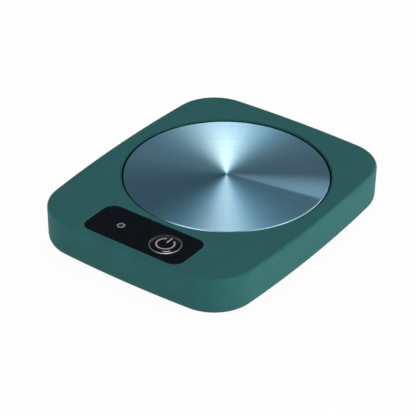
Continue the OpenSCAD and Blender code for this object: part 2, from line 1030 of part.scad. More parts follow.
module power_mark() {
    color("silver")
        at_button()
            translate([0, 0, button_face_z - mark_t])
                linear_extrude(mark_t)
                    power_shape(0);
}

// ---------------------------------------------------------------- control board

module control_board() {
    color("darkgreen")
        difference() {
            translate([-board_w / 2, board_y - board_l / 2, board_z])
                cube([board_w, board_l, board_t]);
            at_board_posts()
                translate([0, 0, board_z - 1])
                    cylinder(d = board_screw_d + 4 * loose, h = board_t + 2);
        }
}

module board_screws() {
    color("silver")
        at_board_posts()
            translate([0, 0, board_z])
                screw(board_screw_d, board_screw_l, board_head_d, board_head_h);
}

module tact_switch() {
    color("dimgray")
        at_button()
            difference() {
                union() {
                    translate([-switch_w / 2, -switch_w / 2, board_top_z])
                        cube([switch_w, switch_w, switch_body_h]);
                    for (x = [-1, 1], y = [-1, 1])
                        translate([x * (switch_w / 2 + 0.4), y * switch_w / 3, board_top_z + 0.25])
                            cube([1, 0.8, 0.5], center = true);
                }
                translate([0, 0, plunger_z - button_travel - play])
                    cylinder(
                        r = plunger_foot_r + play,
                        h = button_travel + plunger_foot_t + 2 * play
                    );
                translate([0, 0, plunger_z])
                    cylinder(r = plunger_r + play, h = switch_body_h);
            }
}

module switch_plunger() {
    color("black")
        at_button() {
            translate([0, 0, plunger_z])
                cylinder(r = plunger_foot_r, h = plunger_foot_t);
            translate([0, 0, plunger_z])
                cylinder(r = plunger_r, h = board_top_z + switch_h - plunger_z);
        }
}

module control_chip() {
    color("black")
        translate([0, board_y - 1.6, board_top_z]) {
            translate([-chip_w / 2, -chip_l / 2, 0.1])
                cube([chip_w, chip_l, chip_h]);
            for (k = [0:chip_legs - 1], y = [-1, 1])
                translate([(k - (chip_legs - 1) / 2) * chip_pitch, y * (chip_l / 2 + 0.5), 0.3])
                    cube([0.42, 1.2, 0.6], center = true);
        }
}

module power_transistor() {
    color("black")
        translate([8 - post_x, board_y - 2.6, board_top_z]) {
            translate([-3.2, -3, 0])
                cube([6.4, 5, 2.3]);
            translate([-2.6, 1.5, 0])
                cube([5.2, 1.6, 0.5]);
            for (x = [-2.3, 2.3])
                translate([x, -3.8, 0.25])
                    cube([0.8, 2, 0.5], center = true);
        }
}

module capacitor() {
    color("lightgray")
        translate([post_x - capacitor_d / 2 - 4.1, board_y - 3.4, board_top_z]) {
            translate([-capacitor_d / 2 - 0.1, -capacitor_d / 2 - 0.1, 0])
                cube([capacitor_d + 0.2, capacitor_d + 0.2, 0.8]);
            cylinder(d = capacitor_d, h = capacitor_h);
        }
}

module chip_resistors() {
    places = [[-6, -6.6], [-3, -6.6], [0, -6.6], [3, -6.6], [-6, 4.6], [-2, 4.6], [2, 4.6], [-9.5, -6.6]];
    color("black")
        for (p = places)
            translate([p[0] - 1, board_y + p[1] - 0.6, board_top_z])
                cube([2, 1.2, 0.5]);
}

module indicator_led() {
    color("white")
        at_light()
            translate([-led_w / 2, -led_l / 2, board_top_z])
                cube([led_w, led_l, led_h]);
}

module wire_headers() {
    color("white")
        for (x = header_x)
            translate([x - header_w / 2, header_y - header_l / 2, board_top_z])
                cube([header_w, header_l, header_h]);
}

// ---------------------------------------------------------------- power inlet

module inlet_board() {
    color("darkgreen")
        difference() {
            translate([-inlet_board_w / 2, inlet_board_y - inlet_board_l / 2, inlet_board_z])
                cube([inlet_board_w, inlet_board_l, inlet_board_t]);
            at_inlet_posts()
                translate([0, 0, inlet_board_z - 1])
                    cylinder(d = inlet_screw_d + 2 * loose, h = inlet_board_t + 2);
        }
}

module inlet_screws() {
    color("silver")
        at_inlet_posts()
            translate([0, 0, inlet_board_z + inlet_board_t])
                rotate([180, 0, 0])
                    screw(inlet_screw_d, inlet_screw_l, inlet_head_d, inlet_head_h);
}

module at_socket(y) {
    translate([0, y, socket_z])
        rotate([-90, 0, 0])
            children();
}

module inlet_shell() {
    color("silver")
        difference() {
            at_socket(socket_y)
                slot(socket_w, socket_h, socket_l);
            at_socket(socket_y + socket_wall)
                slot(socket_w - 2 * socket_wall, socket_h - 2 * socket_wall, socket_l);
        }
}

module inlet_tongue() {
    color("black") {
        at_socket(socket_y + socket_wall)
            slot(
                socket_w - 2 * socket_wall - 2 * seat, socket_h - 2 * socket_wall - 2 * seat,
                socket_block_l
            );
        translate([-tongue_w / 2, socket_y + socket_wall + socket_block_l - eps, socket_z - tongue_t / 2])
            cube([tongue_w, socket_l - socket_wall - socket_block_l - tongue_short + eps, tongue_t]);
    }
}

module inlet_contacts() {
    y0 = socket_y + socket_wall + socket_block_l;
    color("goldenrod")
        for (k = [0:contacts - 1], z = [tongue_t / 2, -tongue_t / 2 - contact_t])
            translate([(k - (contacts - 1) / 2) * contact_pitch - contact_w / 2, y0, socket_z + z])
                cube([contact_w, socket_mouth_y - tongue_short - 0.4 - y0, contact_t]);
}

// ---------------------------------------------------------------- leads

// The two points with which every lead enters its header, a distance side off its middle
function header_end(x, side) = [
    [x + side, header_y + header_l / 2 + 2.2, header_wire_z],
    [x + side, header_y + header_l / 2, header_wire_z]
];

function reversed(p) = [for (i = [len(p) - 1:-1:0]) p[i]];

// The path moved sideways by d, seen from above
function beside(path, d) = [
    for (i = [0:len(path) - 1]) let (h = heading(path, i))
    path[i] + d * [-h[1], h[0], 0] / norm([h[0], h[1]])
];

module heater_leads() {
    half = header_pitch / 2;
    color("crimson") {
        wire(curve(concat(
            reversed(header_end(header_x[0], half)), heater_route,
            [[terminal_x, terminal_y, nut_z], [terminal_x, terminal_y, terminal_z]]
        ), lead_steps), power_lead_r);
        wire(curve(concat(
            reversed(header_end(header_x[0], -half)), fuse_route,
            [
                [fuse_in_x, terminal_y, nut_z], [fuse_in_x, terminal_y, backing_z + 0.4],
                [fuse_l / 2 + 1.4, terminal_y, fuse_z], [fuse_l / 2, terminal_y, fuse_z]
            ]
        ), lead_steps), power_lead_r);
        wire(curve([
            [-fuse_l / 2, terminal_y, fuse_z],
            [-fuse_l / 2 - 1, terminal_y, fuse_z],
            [terminal_w / 2 + 1 - terminal_x, terminal_y, terminal_z + link_r],
            [terminal_w / 2 - terminal_x, terminal_y, terminal_z + link_r]
        ], lead_steps), link_r);
    }
}

module sensor_leads() {
    half = header_pitch / 2;
    color("gold")
        for (side = [-1, 1])
            wire(curve(concat(
                [[side * 0.7, plate_y, sensor_z], [side * 0.7, plate_y, washer_z]],
                beside(sensor_route, side * 0.7),
                header_end(header_x[1], side * half)
            ), lead_steps), sensor_lead_r);
}

module inlet_leads() {
    half = header_pitch / 2;
    color("crimson")
        for (side = [-1, 1])
            wire(curve(concat(
                [
                    [inlet_pad_x + side * inlet_pad_pitch / 2, inlet_board_y - 2, inlet_start_z],
                    [inlet_pad_x + side * inlet_pad_pitch / 2, inlet_exit_y, inlet_start_z]
                ],
                beside(inlet_route, side),
                header_end(header_x[2], side * half)
            ), lead_steps), power_lead_r);
}

// ---------------------------------------------------------------- nodes

upper_casing();
bottom_cover();
casing_screws();
rubber_feet();
heating_plate();
plate_seal();
retaining_ring();
ring_screws();
plate_studs();
heater_film();
heater_foil();
film_terminals();
insulation_pad();
heater_backing();
backing_washers();
backing_nuts();
temperature_sensor();
thermal_fuse();
control_panel();
panel_tape();
indicator_mark();
light_pipe();
power_button();
button_ring();
power_mark();
control_board();
board_screws();
tact_switch();
switch_plunger();
control_chip();
power_transistor();
capacitor();
chip_resistors();
indicator_led();
wire_headers();
inlet_board();
inlet_screws();
inlet_shell();
inlet_tongue();
inlet_contacts();
heater_leads();
sensor_leads();
inlet_leads();
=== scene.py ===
"""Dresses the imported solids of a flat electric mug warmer.

Each operator makes one piece, or one group of like pieces, from the sizes and colours in the
sidebar. Lengths are in metres, and every piece is made in place, in the frame of the solids.
"""

import json
import math
from functools import partialmethod

import bmesh
import bpy
from bpy.props import FloatProperty, FloatVectorProperty, IntProperty, PointerProperty
from bpy.types import Operator, Panel, PropertyGroup
from mathutils import Matrix, Vector


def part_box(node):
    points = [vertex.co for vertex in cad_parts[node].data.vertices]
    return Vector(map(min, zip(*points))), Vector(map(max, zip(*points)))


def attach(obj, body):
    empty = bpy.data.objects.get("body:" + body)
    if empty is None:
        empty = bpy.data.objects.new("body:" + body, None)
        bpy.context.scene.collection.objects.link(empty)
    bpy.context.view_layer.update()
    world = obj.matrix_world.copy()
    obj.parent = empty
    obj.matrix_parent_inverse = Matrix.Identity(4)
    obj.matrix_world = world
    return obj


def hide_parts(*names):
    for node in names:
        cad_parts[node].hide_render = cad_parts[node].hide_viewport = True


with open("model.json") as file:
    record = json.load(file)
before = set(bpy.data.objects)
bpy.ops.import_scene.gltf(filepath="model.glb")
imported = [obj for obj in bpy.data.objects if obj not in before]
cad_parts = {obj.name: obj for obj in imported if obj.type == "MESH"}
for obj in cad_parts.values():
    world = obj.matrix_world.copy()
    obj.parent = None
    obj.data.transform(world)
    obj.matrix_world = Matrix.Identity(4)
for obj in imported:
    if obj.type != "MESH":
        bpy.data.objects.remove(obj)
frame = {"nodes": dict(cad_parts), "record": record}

bl_info = {
    "name": "Electric Mug Warmer",
    "version": (1, 0, 0),
    "blender": (4, 5, 0),
    "location": "3D View > Sidebar > Mug Warmer",
    "description": "Builds the looks of a flat electric mug warmer round its solids",
    "category": "Object",
}


class Box:
    """The box of a solid: its corners, its middle and its size."""

    def __init__(self, low, high):
        self.low, self.high = low, high
        self.x, self.y, self.z = ((a + b) / 2 for a, b in zip(low, high))
        self.width, self.depth, self.height = (b - a for a, b in zip(low, high))


MM = 0.001
PAST = 1 * MM  # how far a cutter runs past what it cuts
FINE = 256  # points round the plate and what fits it
EAR_TURNS = (38, 142, 222, 318)  # where the retaining ring is screwed down, in degrees

CASING = Box(*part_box("upper_casing"))
COVER = Box(*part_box("bottom_cover"))
PLATE = Box(*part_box("heating_plate"))
SEAL = Box(*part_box("plate_seal"))
PANEL = Box(*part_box("control_panel"))
BUTTON = Box(*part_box("power_button"))
RING = Box(*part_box("button_ring"))
MARK = Box(*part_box("indicator_mark"))
PIPE = Box(*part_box("light_pipe"))
BOARD = Box(*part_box("control_board"))
CASING_SCREWS = Box(*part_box("casing_screws"))
RING_SCREWS = Box(*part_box("ring_screws"))
INLET_SCREWS = Box(*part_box("inlet_screws"))
FEET = Box(*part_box("rubber_feet"))
INLET = Box(*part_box("inlet_shell"))
BUTTON_AT = (BUTTON.x, BUTTON.y)
LIGHT_AT = (MARK.x, MARK.y)


# ---------------------------------------------------------------- settings


def size(name, description, default, low=0.0, high=1.0):
    return FloatProperty(
        name=name, description=description, default=default, min=low, max=high,
        precision=5, unit="LENGTH", subtype="DISTANCE",
    )


def angle(name, description, degrees):
    return FloatProperty(
        name=name, description=description, default=math.radians(degrees),
        unit="ROTATION", subtype="ANGLE",
    )


def share(name, description, default, high=1.0):
    return FloatProperty(
        name=name, description=description, default=default, min=0.0, max=high, subtype="FACTOR",
    )


def colour(name, description, *default):
    return FloatVectorProperty(
        name=name, description=description, default=default, size=3, min=0.0, max=1.0,
        subtype="COLOR",
    )


class CasingSettings(PropertyGroup):
    """The upper casing"""

    width: size("Width", "Across the middle, side to side", CASING.width)
    depth: size("Depth", "Across the middle, front to back", CASING.depth)
    base: size("Base height", "Lower rim above the table", CASING.low.z)
    top: size("Top height", "Top face above the table", CASING.high.z)
    ceiling: size("Ceiling height", "Underside of the top", CASING.high.z - 2.2 * MM)
    side_bow: size("Side bow", "How far each long side bows out", 3.3 * MM)
    end_bow: size("End bow", "How far the front and the back bow out", 2.4 * MM)
    corner: size("Corner radius", "Seen from above", 19 * MM)
    top_edge: size("Top edge radius", "Rounding along the top edge", 1.3 * MM)
    draft: size("Draft", "How far the walls lean in towards the table", 0.2 * MM)
    base_edge: size("Base edge", "How far the walls draw in along the lower edge", 1.6 * MM)
    base_rise: size("Base rise", "Height over which they draw in", 3.0 * MM)
    wall: size("Wall", "Thickness of the side walls", 2.2 * MM)
    post_in: size("Post inset", "From the cover's edge to the corner screws", 4.2 * MM)
    root: size("Root", "How far posts and collar run up into the top", 0.5 * MM)
    lip: size("Lip", "Rounding along the edge of the plate's opening", 0.5 * MM)
    colour: colour("Plastic", "Colour of the moulded plastic", 0.0160, 0.089, 0.092)
    # Handled edge colour: partly wear, partly a painted highlight along the rounded top edge.
    wear_and_sheen: colour("Handled edge", "Colour where edges are rubbed", 0.022, 0.110, 0.112)
    # Opening edge colour: painted shade on the wall round the plate's opening.
    rim: colour("Opening edge", "Colour along the plate's opening", 0.008, 0.046, 0.050)


class PlateSettings(PropertyGroup):
    """The heating plate and its seal"""

    radius: size("Radius", "Outside of the disc", 42.3 * MM)
    centre: size("Centre", "Middle of the plate, behind the casing's middle", PLATE.y)
    gap: size("Gap", "Between the disc and the casing", 0.7 * MM)
    thickness: size("Thickness", "Of the disc", 2 * MM)
    bevel: size("Chamfer", "Along the disc's upper edge", 0.3 * MM)
    spin_right: size("Spin right", "Middle of the turning marks", -0.79 * MM, low=-1.0)
    spin_back: size("Spin back", "Middle of the turning marks", 0.83 * MM, low=-1.0)
    skirt: size("Skirt", "Thickness of the wall below the disc", 1.2 * MM)
    flange: size("Flange", "Width of the foot of the skirt", 3.3 * MM)
    flange_rise: size("Flange rise", "Thickness of the foot of the skirt", 1 * MM)
    ear: size("Ear", "From the flange to the middle of the ring's ears", 4.05 * MM)
    collar: size("Collar", "Thickness of the casing's ring round the opening", 2 * MM)
    collar_drop: size("Collar drop", "How far that ring hangs below the top", 2.4 * MM)
    seal_drop: size("Seal depth", "Floor of the gap below the casing's top", 1.6 * MM)
    # The seal's lip lines the casing's wall as a dark sheet that stands in for the shade in the
    # gap.
    shade_liner: size("Seal lip", "Thickness of the seal's lip along the casing", 0.15 * MM)
    press: size("Press", "How far the seal presses into its neighbours", 0.05 * MM)
    # Shade and sheen are painted shade and painted highlight: the dark and bright ends of the
    # painted fans.
    shade: colour("Shade", "The metal turned from the light", 0.10, 0.27, 0.38)
    metal: colour("Metal", "Colour of the spun metal", 0.20, 0.48, 0.65)
    sheen: colour("Sheen", "The metal in its bright fan", 0.68, 0.95, 1.0)
    # Pale fan: a painted highlight, the whiter sheen of the fan at the front.
    pale: colour("Pale fan", "The metal in the fan at the front", 0.36, 0.46, 0.48)
    # Wedge: a painted reflection of a light, in a wedge at the right.
    painted_reflection_wedge: colour("Wedge", "The metal in the fan at the right", 0.34, 0.61, 0.77)
    # Chamfer metal: partly bright-cut metal, partly a painted highlight along the rim.
    edge: colour("Chamfer metal", "The metal along the chamfer", 0.38, 0.60, 0.68)
    # Seal colour: near black, and on the lip up the wall it stands in for the shade in the gap.
    seal: colour("Seal", "Colour of the soft seal", 0.0020, 0.0150, 0.0190)


class ControlSettings(PropertyGroup):
    """The panel, the push button and the light"""

    corner: size("Panel corner", "Corner radius of the panel", 4.6 * MM)
    play: size("Play", "Clearance round the panel and the button", 0.15 * MM)
    panel_edge: size("Panel edge", "Rounding along the panel's top edge", 0.12 * MM)
    pocket_edge: size("Pocket edge", "Rounding along the mouth of its seat", 0.15 * MM)
    tape: size("Tape", "Thickness of the adhesive below the panel", 0.15 * MM)
    rim: size("Button ring", "Width of the button's metal ring", 0.6 * MM)
    slope: size("Button slope", "Width of the slope inside the ring", 1.0 * MM)
    # Reach of the ring's painted shade and of the cap's dulling, from the button's middle.
    fade: size("Polish", "From the button's middle to where its polish fades", 7 * MM)
    stem: size("Stem", "Radius of the button's stem", 1.6 * MM)
    shell: size("Button shell", "Thickness of the button's top", 1.3 * MM)
    flange: size("Button flange", "Thickness of the button's flange", 0.8 * MM)
    print_depth: size("Print", "How deep the printed marks lie", 0.12 * MM)
    mark_radius: size("Symbol radius", "Middle of the symbol's arc", 3.6 * MM)
    mark_stroke: size("Symbol stroke", "Width of the symbol's lines", 0.7 * MM)
    mark_gap: angle("Symbol gap", "Half of the gap in the arc", 29)
    bar_low: size("Bar foot", "Lower end of the symbol's bar", 0.8 * MM)
    bar_high: size("Bar head", "Upper end of the symbol's bar", 4.75 * MM)
    light_stroke: size("Light ring", "Width of the printed ring", 0.7 * MM)
    pipe: size("Light pipe", "Radius of the light pipe below the panel", 1.5 * MM)
    pipe_flange: size("Pipe flange", "Radius of the light pipe's flange", 2.3 * MM)
    black: colour("Panel", "Colour of the glossy panel", 0.0022, 0.0038, 0.0060)
    grey: colour("Symbol", "Colour of the printed power symbol", 0.245, 0.248, 0.262)
    dim: colour("Light mark", "Colour of the ring round the light", 0.150, 0.155, 0.165)
    ring: colour("Ring metal", "Colour of the button's ring", 0.27, 0.27, 0.29)


class UndersideSettings(PropertyGroup):
    """The bottom cover, its vents, feet and screws"""

    seam: size("Seam", "Gap between the cover and the casing", 0.2 * MM)
    sheet: size("Cover", "Thickness of the cover", 1.8 * MM)
    edge: size("Cover edge", "Rounding along the cover's lower edge", 0.3 * MM)
    slot_length: size("Vent length", "Length of each vent slot", 34 * MM)
    slot_width: size("Vent width", "Width of each vent slot", 2 * MM)
    slot_pitch: size("Vent pitch", "From one vent slot to the next", 6 * MM)
    slots: IntProperty(name="Vents", description="Number of vent slots", default=7, min=1, max=12)
    recess_width: size("Recess width", "Of the bare recess at the front", 46 * MM)
    recess_depth: size("Recess depth", "Of the bare recess, front to back", 20 * MM)
    recess_back: size("Recess place", "Its middle, behind the panel's", 18 * MM)
    inlet_post: size("Inlet posts", "From the middle to each inlet screw", 8 * MM)
    foot: size("Foot", "Diameter of the rubber feet", 10 * MM)
    screw: size("Screw", "Diameter of the casing screws", 2.8 * MM)
    screw_length: size("Screw length", "Of the casing screws", 8 * MM)
    head: size("Screw head", "Diameter of the casing screws' heads", 5.2 * MM)
    rubber: colour("Rubber", "Colour of the feet", 0.020, 0.020, 0.021)
    zinc: colour("Zinc", "Colour of the plated screws", 0.55, 0.56, 0.58)


class StageSettings(PropertyGroup):
    """The camera, the floor and the light"""

    azimuth: angle("Camera azimuth", "Round the object, from the front", 35.62)
    elevation: angle("Camera elevation", "Above the table", 33.116)
    roll: angle("Camera roll", "About the line of sight", 0.757)
    distance: size("Camera distance", "From the point looked at", 850.3 * MM, high=10.0)
    shift_right: size("Shift right", "Of the point looked at", -2.59 * MM, low=-1.0)
    shift_up: size("Shift up", "Of the point looked at", 2.86 * MM, low=-1.0)
    focal: FloatProperty(name="Focal length", description="In picture widths", default=4.98125)
    sky: share("Sky light", "Strength of the even light from all round", 0.28, high=4.0)
    key: share("Key light", "Strength of the soft box at the right", 1.0, high=10.0)
    fill: share("Fill light", "Strength of the soft box at the front", 1.0, high=10.0)
    top: share("Far light", "Strength of the soft box high behind", 1.0, high=10.0)


class WarmerSettings(PropertyGroup):
    """All sizes and colours of the mug warmer"""

    casing: PointerProperty(type=CasingSettings)
    plate: PointerProperty(type=PlateSettings)
    controls: PointerProperty(type=ControlSettings)
    underside: PointerProperty(type=UndersideSettings)
    stage: PointerProperty(type=StageSettings)


# ---------------------------------------------------------------- node trees


class Graph:
    """A node tree that is written down one node at a time."""

    def __init__(self, tree):
        self.tree = tree

    def node(self, kind, settings=None, inputs=None):
        """Adds a node. Settings come first, a ramp's stops among them, then its sockets' values."""
        node = self.tree.nodes.new(kind)
        for name, value in (settings or {}).items():
            if name == "stops":
                marks = node.color_ramp.elements
                while len(marks) < len(value):
                    marks.new(0.5)
                for mark, (position, shade) in zip(marks, value):
                    mark.position = position
                    mark.color = (*shade, 1.0)
            else:
                setattr(node, name, value)
        for name, value in (inputs or {}).items():
            self.feed(node.inputs[name], value)
        return node

    def feed(self, socket, value):
        if isinstance(value, Value):
            value = value.socket
        if isinstance(value, bpy.types.NodeSocket):
            self.tree.links.new(value, socket)
        elif socket.type == "RGBA" and len(value) == 3:
            socket.default_value = (*value, 1.0)
        else:
            socket.default_value = value

    def out(self, kind, settings=None, inputs=None, socket=0):
        """Adds a node and gives one of its outputs."""
        return self.node(kind, settings, inputs).outputs[socket]

    def value(self, kind, settings=None, inputs=None, socket=0):
        """Adds a node and gives one of its outputs as a number to reckon with."""
        return Value(self, self.out(kind, settings, inputs, socket))

    def mix(self, factor, first, second):
        inputs = {0: factor, 6: first, 7: second}
        return self.out("ShaderNodeMix", {"data_type": "RGBA"}, inputs, 2)


class Value:
    """A number worked out by nodes. Arithmetic on it adds Math nodes."""

    def __init__(self, graph, socket):
        self.graph, self.socket = graph, socket

    def _math(self, operation, *terms):
        inputs = dict(enumerate((self, *terms)))
        return self.graph.value("ShaderNodeMath", {"operation": operation}, inputs)

    __add__ = __radd__ = partialmethod(_math, "ADD")
    __sub__ = partialmethod(_math, "SUBTRACT")
    __mul__ = __rmul__ = partialmethod(_math, "MULTIPLY")
    __truediv__ = partialmethod(_math, "DIVIDE")
    __pow__ = partialmethod(_math, "POWER")
    at_least = partialmethod(_math, "MAXIMUM")
    at_most = partialmethod(_math, "MINIMUM")
    magnitude = partialmethod(_math, "ABSOLUTE")
    root = partialmethod(_math, "SQRT")
    cosine = partialmethod(_math, "COSINE")
    turn_over = partialmethod(_math, "ARCTAN2")  # the angle of a point: its y over its x

    def __rsub__(self, other):
        return self.graph.value("ShaderNodeMath", {"operation": "SUBTRACT"}, {0: other, 1: self})

    def step(self, low, high):
        """Smoothly from 0 at low to 1 at high."""
        return self.graph.value(
            "ShaderNodeMapRange", {"interpolation_type": "SMOOTHSTEP"},
            {"Value": self, "From Min": low, "From Max": high})


class Finish(Graph):
    """A material. Its patterns are laid out in millimetres on Object coordinates."""

    def __init__(self, name):
        self.material = bpy.data.materials.new(name)
        self.material.use_nodes = True
        super().__init__(self.material.node_tree)
        self.tree.nodes.clear()
        place = self.out("ShaderNodeTexCoord", socket="Object")
        self.place = self.vector("SCALE", place, Scale=1 / MM)
        parts = self.node("ShaderNodeSeparateXYZ", inputs={0: self.place})
        self.x, self.y, self.z = (Value(self, s) for s in parts.outputs)

    def vector(self, operation, first, second=None, **named):
        inputs = {0: first, **named}
        if second is not None:
            inputs[1] = second
        return self.out("ShaderNodeVectorMath", {"operation": operation}, inputs)

    def noise(self, grain, detail=2.0, roughness=0.5, vector=None, **more):
        """Smooth noise from 0 to 1 with patches about grain millimetres across."""
        return self.value("ShaderNodeTexNoise", None, {
            "Vector": vector or self.place, "Scale": 1 / grain, "Detail": detail,
            "Roughness": roughness, **more})

    def stripes(self, along, pitch, detail=2.0):
        """Noise that changes along one direction only, with bands about pitch wide."""
        return self.value(
            "ShaderNodeTexNoise", {"noise_dimensions": "1D"},
            {"W": along, "Scale": 1 / pitch, "Detail": detail})

    def cells(self, socket, scale, **more):
        """One output of a pattern of cells."""
        inputs = {"Vector": self.place, "Scale": scale, **more}
        return self.out("ShaderNodeTexVoronoi", {"feature": "F1"}, inputs, socket)

    def drawn_lines(self):
        """The fine slanting lines that rolling and drawing leave in metal."""
        return self.stripes(self.x + 0.4 * self.y, 0.09, 2.0)

    def bump(self, height, microns):
        inputs = {"Height": height, "Distance": microns * 1e-6, "Strength": 1.0}
        return self.out("ShaderNodeBump", None, inputs)

    def surface(self, base, roughness, normal, **constants):
        """Ends the material in one Principled BSDF. Constants are set on its own sockets."""
        shader = self.out("ShaderNodeBsdfPrincipled", None, {
            "Base Color": base, "Roughness": roughness, "Normal": normal,
            **{name.replace("_", " "): value for name, value in constants.items()}})
        self.node("ShaderNodeOutputMaterial", None, {0: shader})
        return self.material


def darker(colour, by):
    return tuple(c * by for c in colour)


# ---------------------------------------------------------------- materials


def casing_plastic(casing, plate):
    """Fine matt plastic, paler along its top edge, where the pale band is partly wear and partly a
    painted highlight, and with painted shade darkening the wall round the plate's opening.
    """
    f = Finish("casing_plastic")
    grain = f.noise(0.28, 3.0, 0.6)
    cloud = f.noise(9.0, 3.0)
    speck = f.noise(0.6, 1.0)
    top, edge, lip = casing.top / MM, casing.top_edge / MM, casing.lip / MM
    # Pale band along the top edge: partly wear, partly a painted highlight on the rounded edge.
    rubbed_and_sheen = f.z.step(top - 1.3 * edge, top - 0.3 * edge)
    rubbed_and_sheen = rubbed_and_sheen * f.z.step(top + 0.01, top - 0.12 * edge)
    rubbed_and_sheen = rubbed_and_sheen * (0.35 + 0.65 * f.noise(5.0, 4.0).step(0.35, 0.65))
    # Painted shade: the wall and lip round the plate's opening are darkened as if in the gap's
    # shade.
    back, mouth = f.y - plate.centre / MM, (plate.radius + plate.gap) / MM
    reach = (f.x * f.x + back * back).root()
    rim = reach.step(mouth + 1.4 * lip, mouth + 0.8 * lip) * reach.step(mouth - 0.01, mouth + 0.02)
    rim = rim * f.z.step(top - 1.2 * lip, top - 0.8 * lip)
    base = f.mix(cloud.step(0.25, 0.75), darker(casing.colour, 0.94), darker(casing.colour, 1.05))
    base = f.mix(speck.step(0.62, 0.8) * 0.10, base, darker(casing.colour, 1.35))
    base = f.mix(rubbed_and_sheen * 0.25, base, tuple(casing.wear_and_sheen))
    base = f.mix(rim * 0.6, base, tuple(casing.rim))
    roughness = 0.52 + 0.10 * grain + 0.05 * cloud - 0.06 * rubbed_and_sheen + 0.30 * rim
    return f.surface(base, roughness, f.bump(grain, 9), Specular_IOR_Level=0.12)


def spun_metal(plate):
    """Turned metal: fine rings round the middle, and painted fans of sheen and shade that spread
    out from it, with a painted reflection in a wedge at the right and a partly painted highlight on
    the chamfer.
    """
    f = Finish("spun_metal")
    x, y = f.x - plate.spin_right / MM, f.y - (plate.centre + plate.spin_back) / MM
    r, turn = (x * x + y * y).root(), y.turn_over(x)
    degrees = turn * (180 / math.pi)
    fine, coarse = f.stripes(r, 0.16, 3.0), f.stripes(r, 1.1, 2.0)
    streak = f.stripes(degrees, 2.2, 3.0)

    def fan(middle, half):
        """1 at this angle, falling softly to a half at half degrees to each side of it."""
        power = math.log(0.5) / math.log((1 + math.cos(math.radians(half))) / 2)
        return (0.5 + 0.5 * (turn - math.radians(middle)).cosine()) ** power

    # Painted sheen and painted shade: brighter and darker fans laid out by angle round the middle
    # of the turning marks.
    painted_sheen_level = 0.52 + 0.05 * (streak - 0.5) - 0.16 * fan(294, 9) * r.step(8, 44)
    for weight, middle, half in (
        (0.105, 160, 48), (0.26, 129, 19), (-0.08, 175, 18), (-0.17, 268, 48),
        (0.17, 305.5, 10), (-0.02, 324, 10), (-0.03, 350, 14),
    ):
        painted_sheen_level = painted_sheen_level + weight * fan(middle, half)
    # Painted fade: the bright fans are dimmed towards the rim.
    painted_fan_fade = (fan(128, 30) + fan(303, 20)).at_most(1.0)
    painted_sheen_level = painted_sheen_level * (1.02 - 0.22 * painted_fan_fade * r.step(12, 44))
    # Painted reflection: a wedge of lighter, rougher metal at the right.
    painted_reflection_wedge = degrees.step(7, 12) * degrees.step(38, 20) * (0.45 + 0.55 * r.step(0, 40))
    # Lighter chamfer: partly bright-cut metal, partly a painted highlight along the rim.
    back, chamfer = f.y - plate.centre / MM, (plate.radius - plate.bevel) / MM
    edge = (f.x * f.x + back * back).root().step(chamfer - 0.02, chamfer + 0.02)
    # The ramp runs from painted shade through the metal's own colour to painted sheen and, at its
    # top, a painted highlight.
    base = f.out("ShaderNodeValToRGB", {"stops": (
        (0.0, darker(plate.shade, 0.3)), (0.33, plate.shade), (0.5, plate.metal),
        (0.87, plate.sheen), (1.0, (0.85, 1.0, 1.0)))}, {"Fac": painted_sheen_level})
    # Painted highlight: the fan at the front is made whiter.
    base = f.mix(0.55 * fan(304, 14), base, tuple(plate.pale))
    base = f.mix(0.30 * fine.step(0.35, 0.75), base, darker(plate.metal, 0.55))
    base = f.mix(0.16 * coarse.step(0.45, 0.7), base, darker(plate.metal, 0.7))
    base = f.mix(0.8 * painted_reflection_wedge, base, tuple(plate.painted_reflection_wedge))
    base = f.mix(0.85 * edge, base, tuple(plate.edge))
    roughness = 0.30 + 0.08 * coarse + 0.06 * fine + 0.22 * painted_reflection_wedge - 0.02 * edge
    return f.surface(
        base, roughness, f.bump(fine, 2.5), Metallic=1.0, Anisotropic=0.75,
        Anisotropic_Rotation=0.25)


def gloss_black(name, colour):
    """Glossy film over black, with faint finger smears."""
    f = Finish(name)
    smear = f.noise(7.0, 4.0, 0.6, Distortion=0.6)
    dust = f.noise(0.35, 1.0).step(0.74, 0.82)
    base = f.mix(0.5 * smear, tuple(colour), darker(colour, 1.5))
    base = f.mix(0.06 * dust, base, (0.12, 0.12, 0.12))
    roughness = 0.10 + 0.12 * smear.step(0.45, 0.8) + 0.2 * dust
    return f.surface(base, roughness, f.bump(f.noise(2.6, 1.0), 0.8), Specular_IOR_Level=0.13)


def printed_grey(name, colour):
    """Screen-printed ink with the weave of the screen just showing."""
    f = Finish(name)
    weave = f.noise(0.12, 2.0)
    base = f.mix(weave, darker(colour, 0.88), darker(colour, 1.10))
    return f.surface(base, 0.42 + 0.12 * weave, f.bump(weave, 3))


def soft_rubber(name, colour, dust=(0.09, 0.085, 0.08), gloss=0.3):
    """Moulded rubber with a fine grain and a little dust in it."""
    f = Finish(name)
    fine, cloud = f.noise(0.5, 3.0), f.noise(4.0, 3.0)
    base = f.mix(cloud, darker(colour, 0.8), darker(colour, 1.35))
    base = f.mix(0.25 * f.noise(0.9, 2.0).step(0.6, 0.8), base, dust)
    return f.surface(base, 0.72 + 0.14 * fine, f.bump(fine, 14), Specular_IOR_Level=gloss)


def moulded(name, colour, roughness=0.45, grain=0.4, microns=6, mottle=0.10, **constants):
    """Moulded plastic in one colour, with flow marks and a fine grain."""
    f = Finish(name)
    fine = f.noise(grain, 3.0)
    flow = f.noise(3.5, 3.0, Distortion=1.2)
    base = f.mix(flow.step(0.3, 0.7), darker(colour, 1 - mottle), darker(colour, 1 + mottle))
    return f.surface(base, roughness + 0.12 * (fine - 0.5), f.bump(fine, microns), **constants)


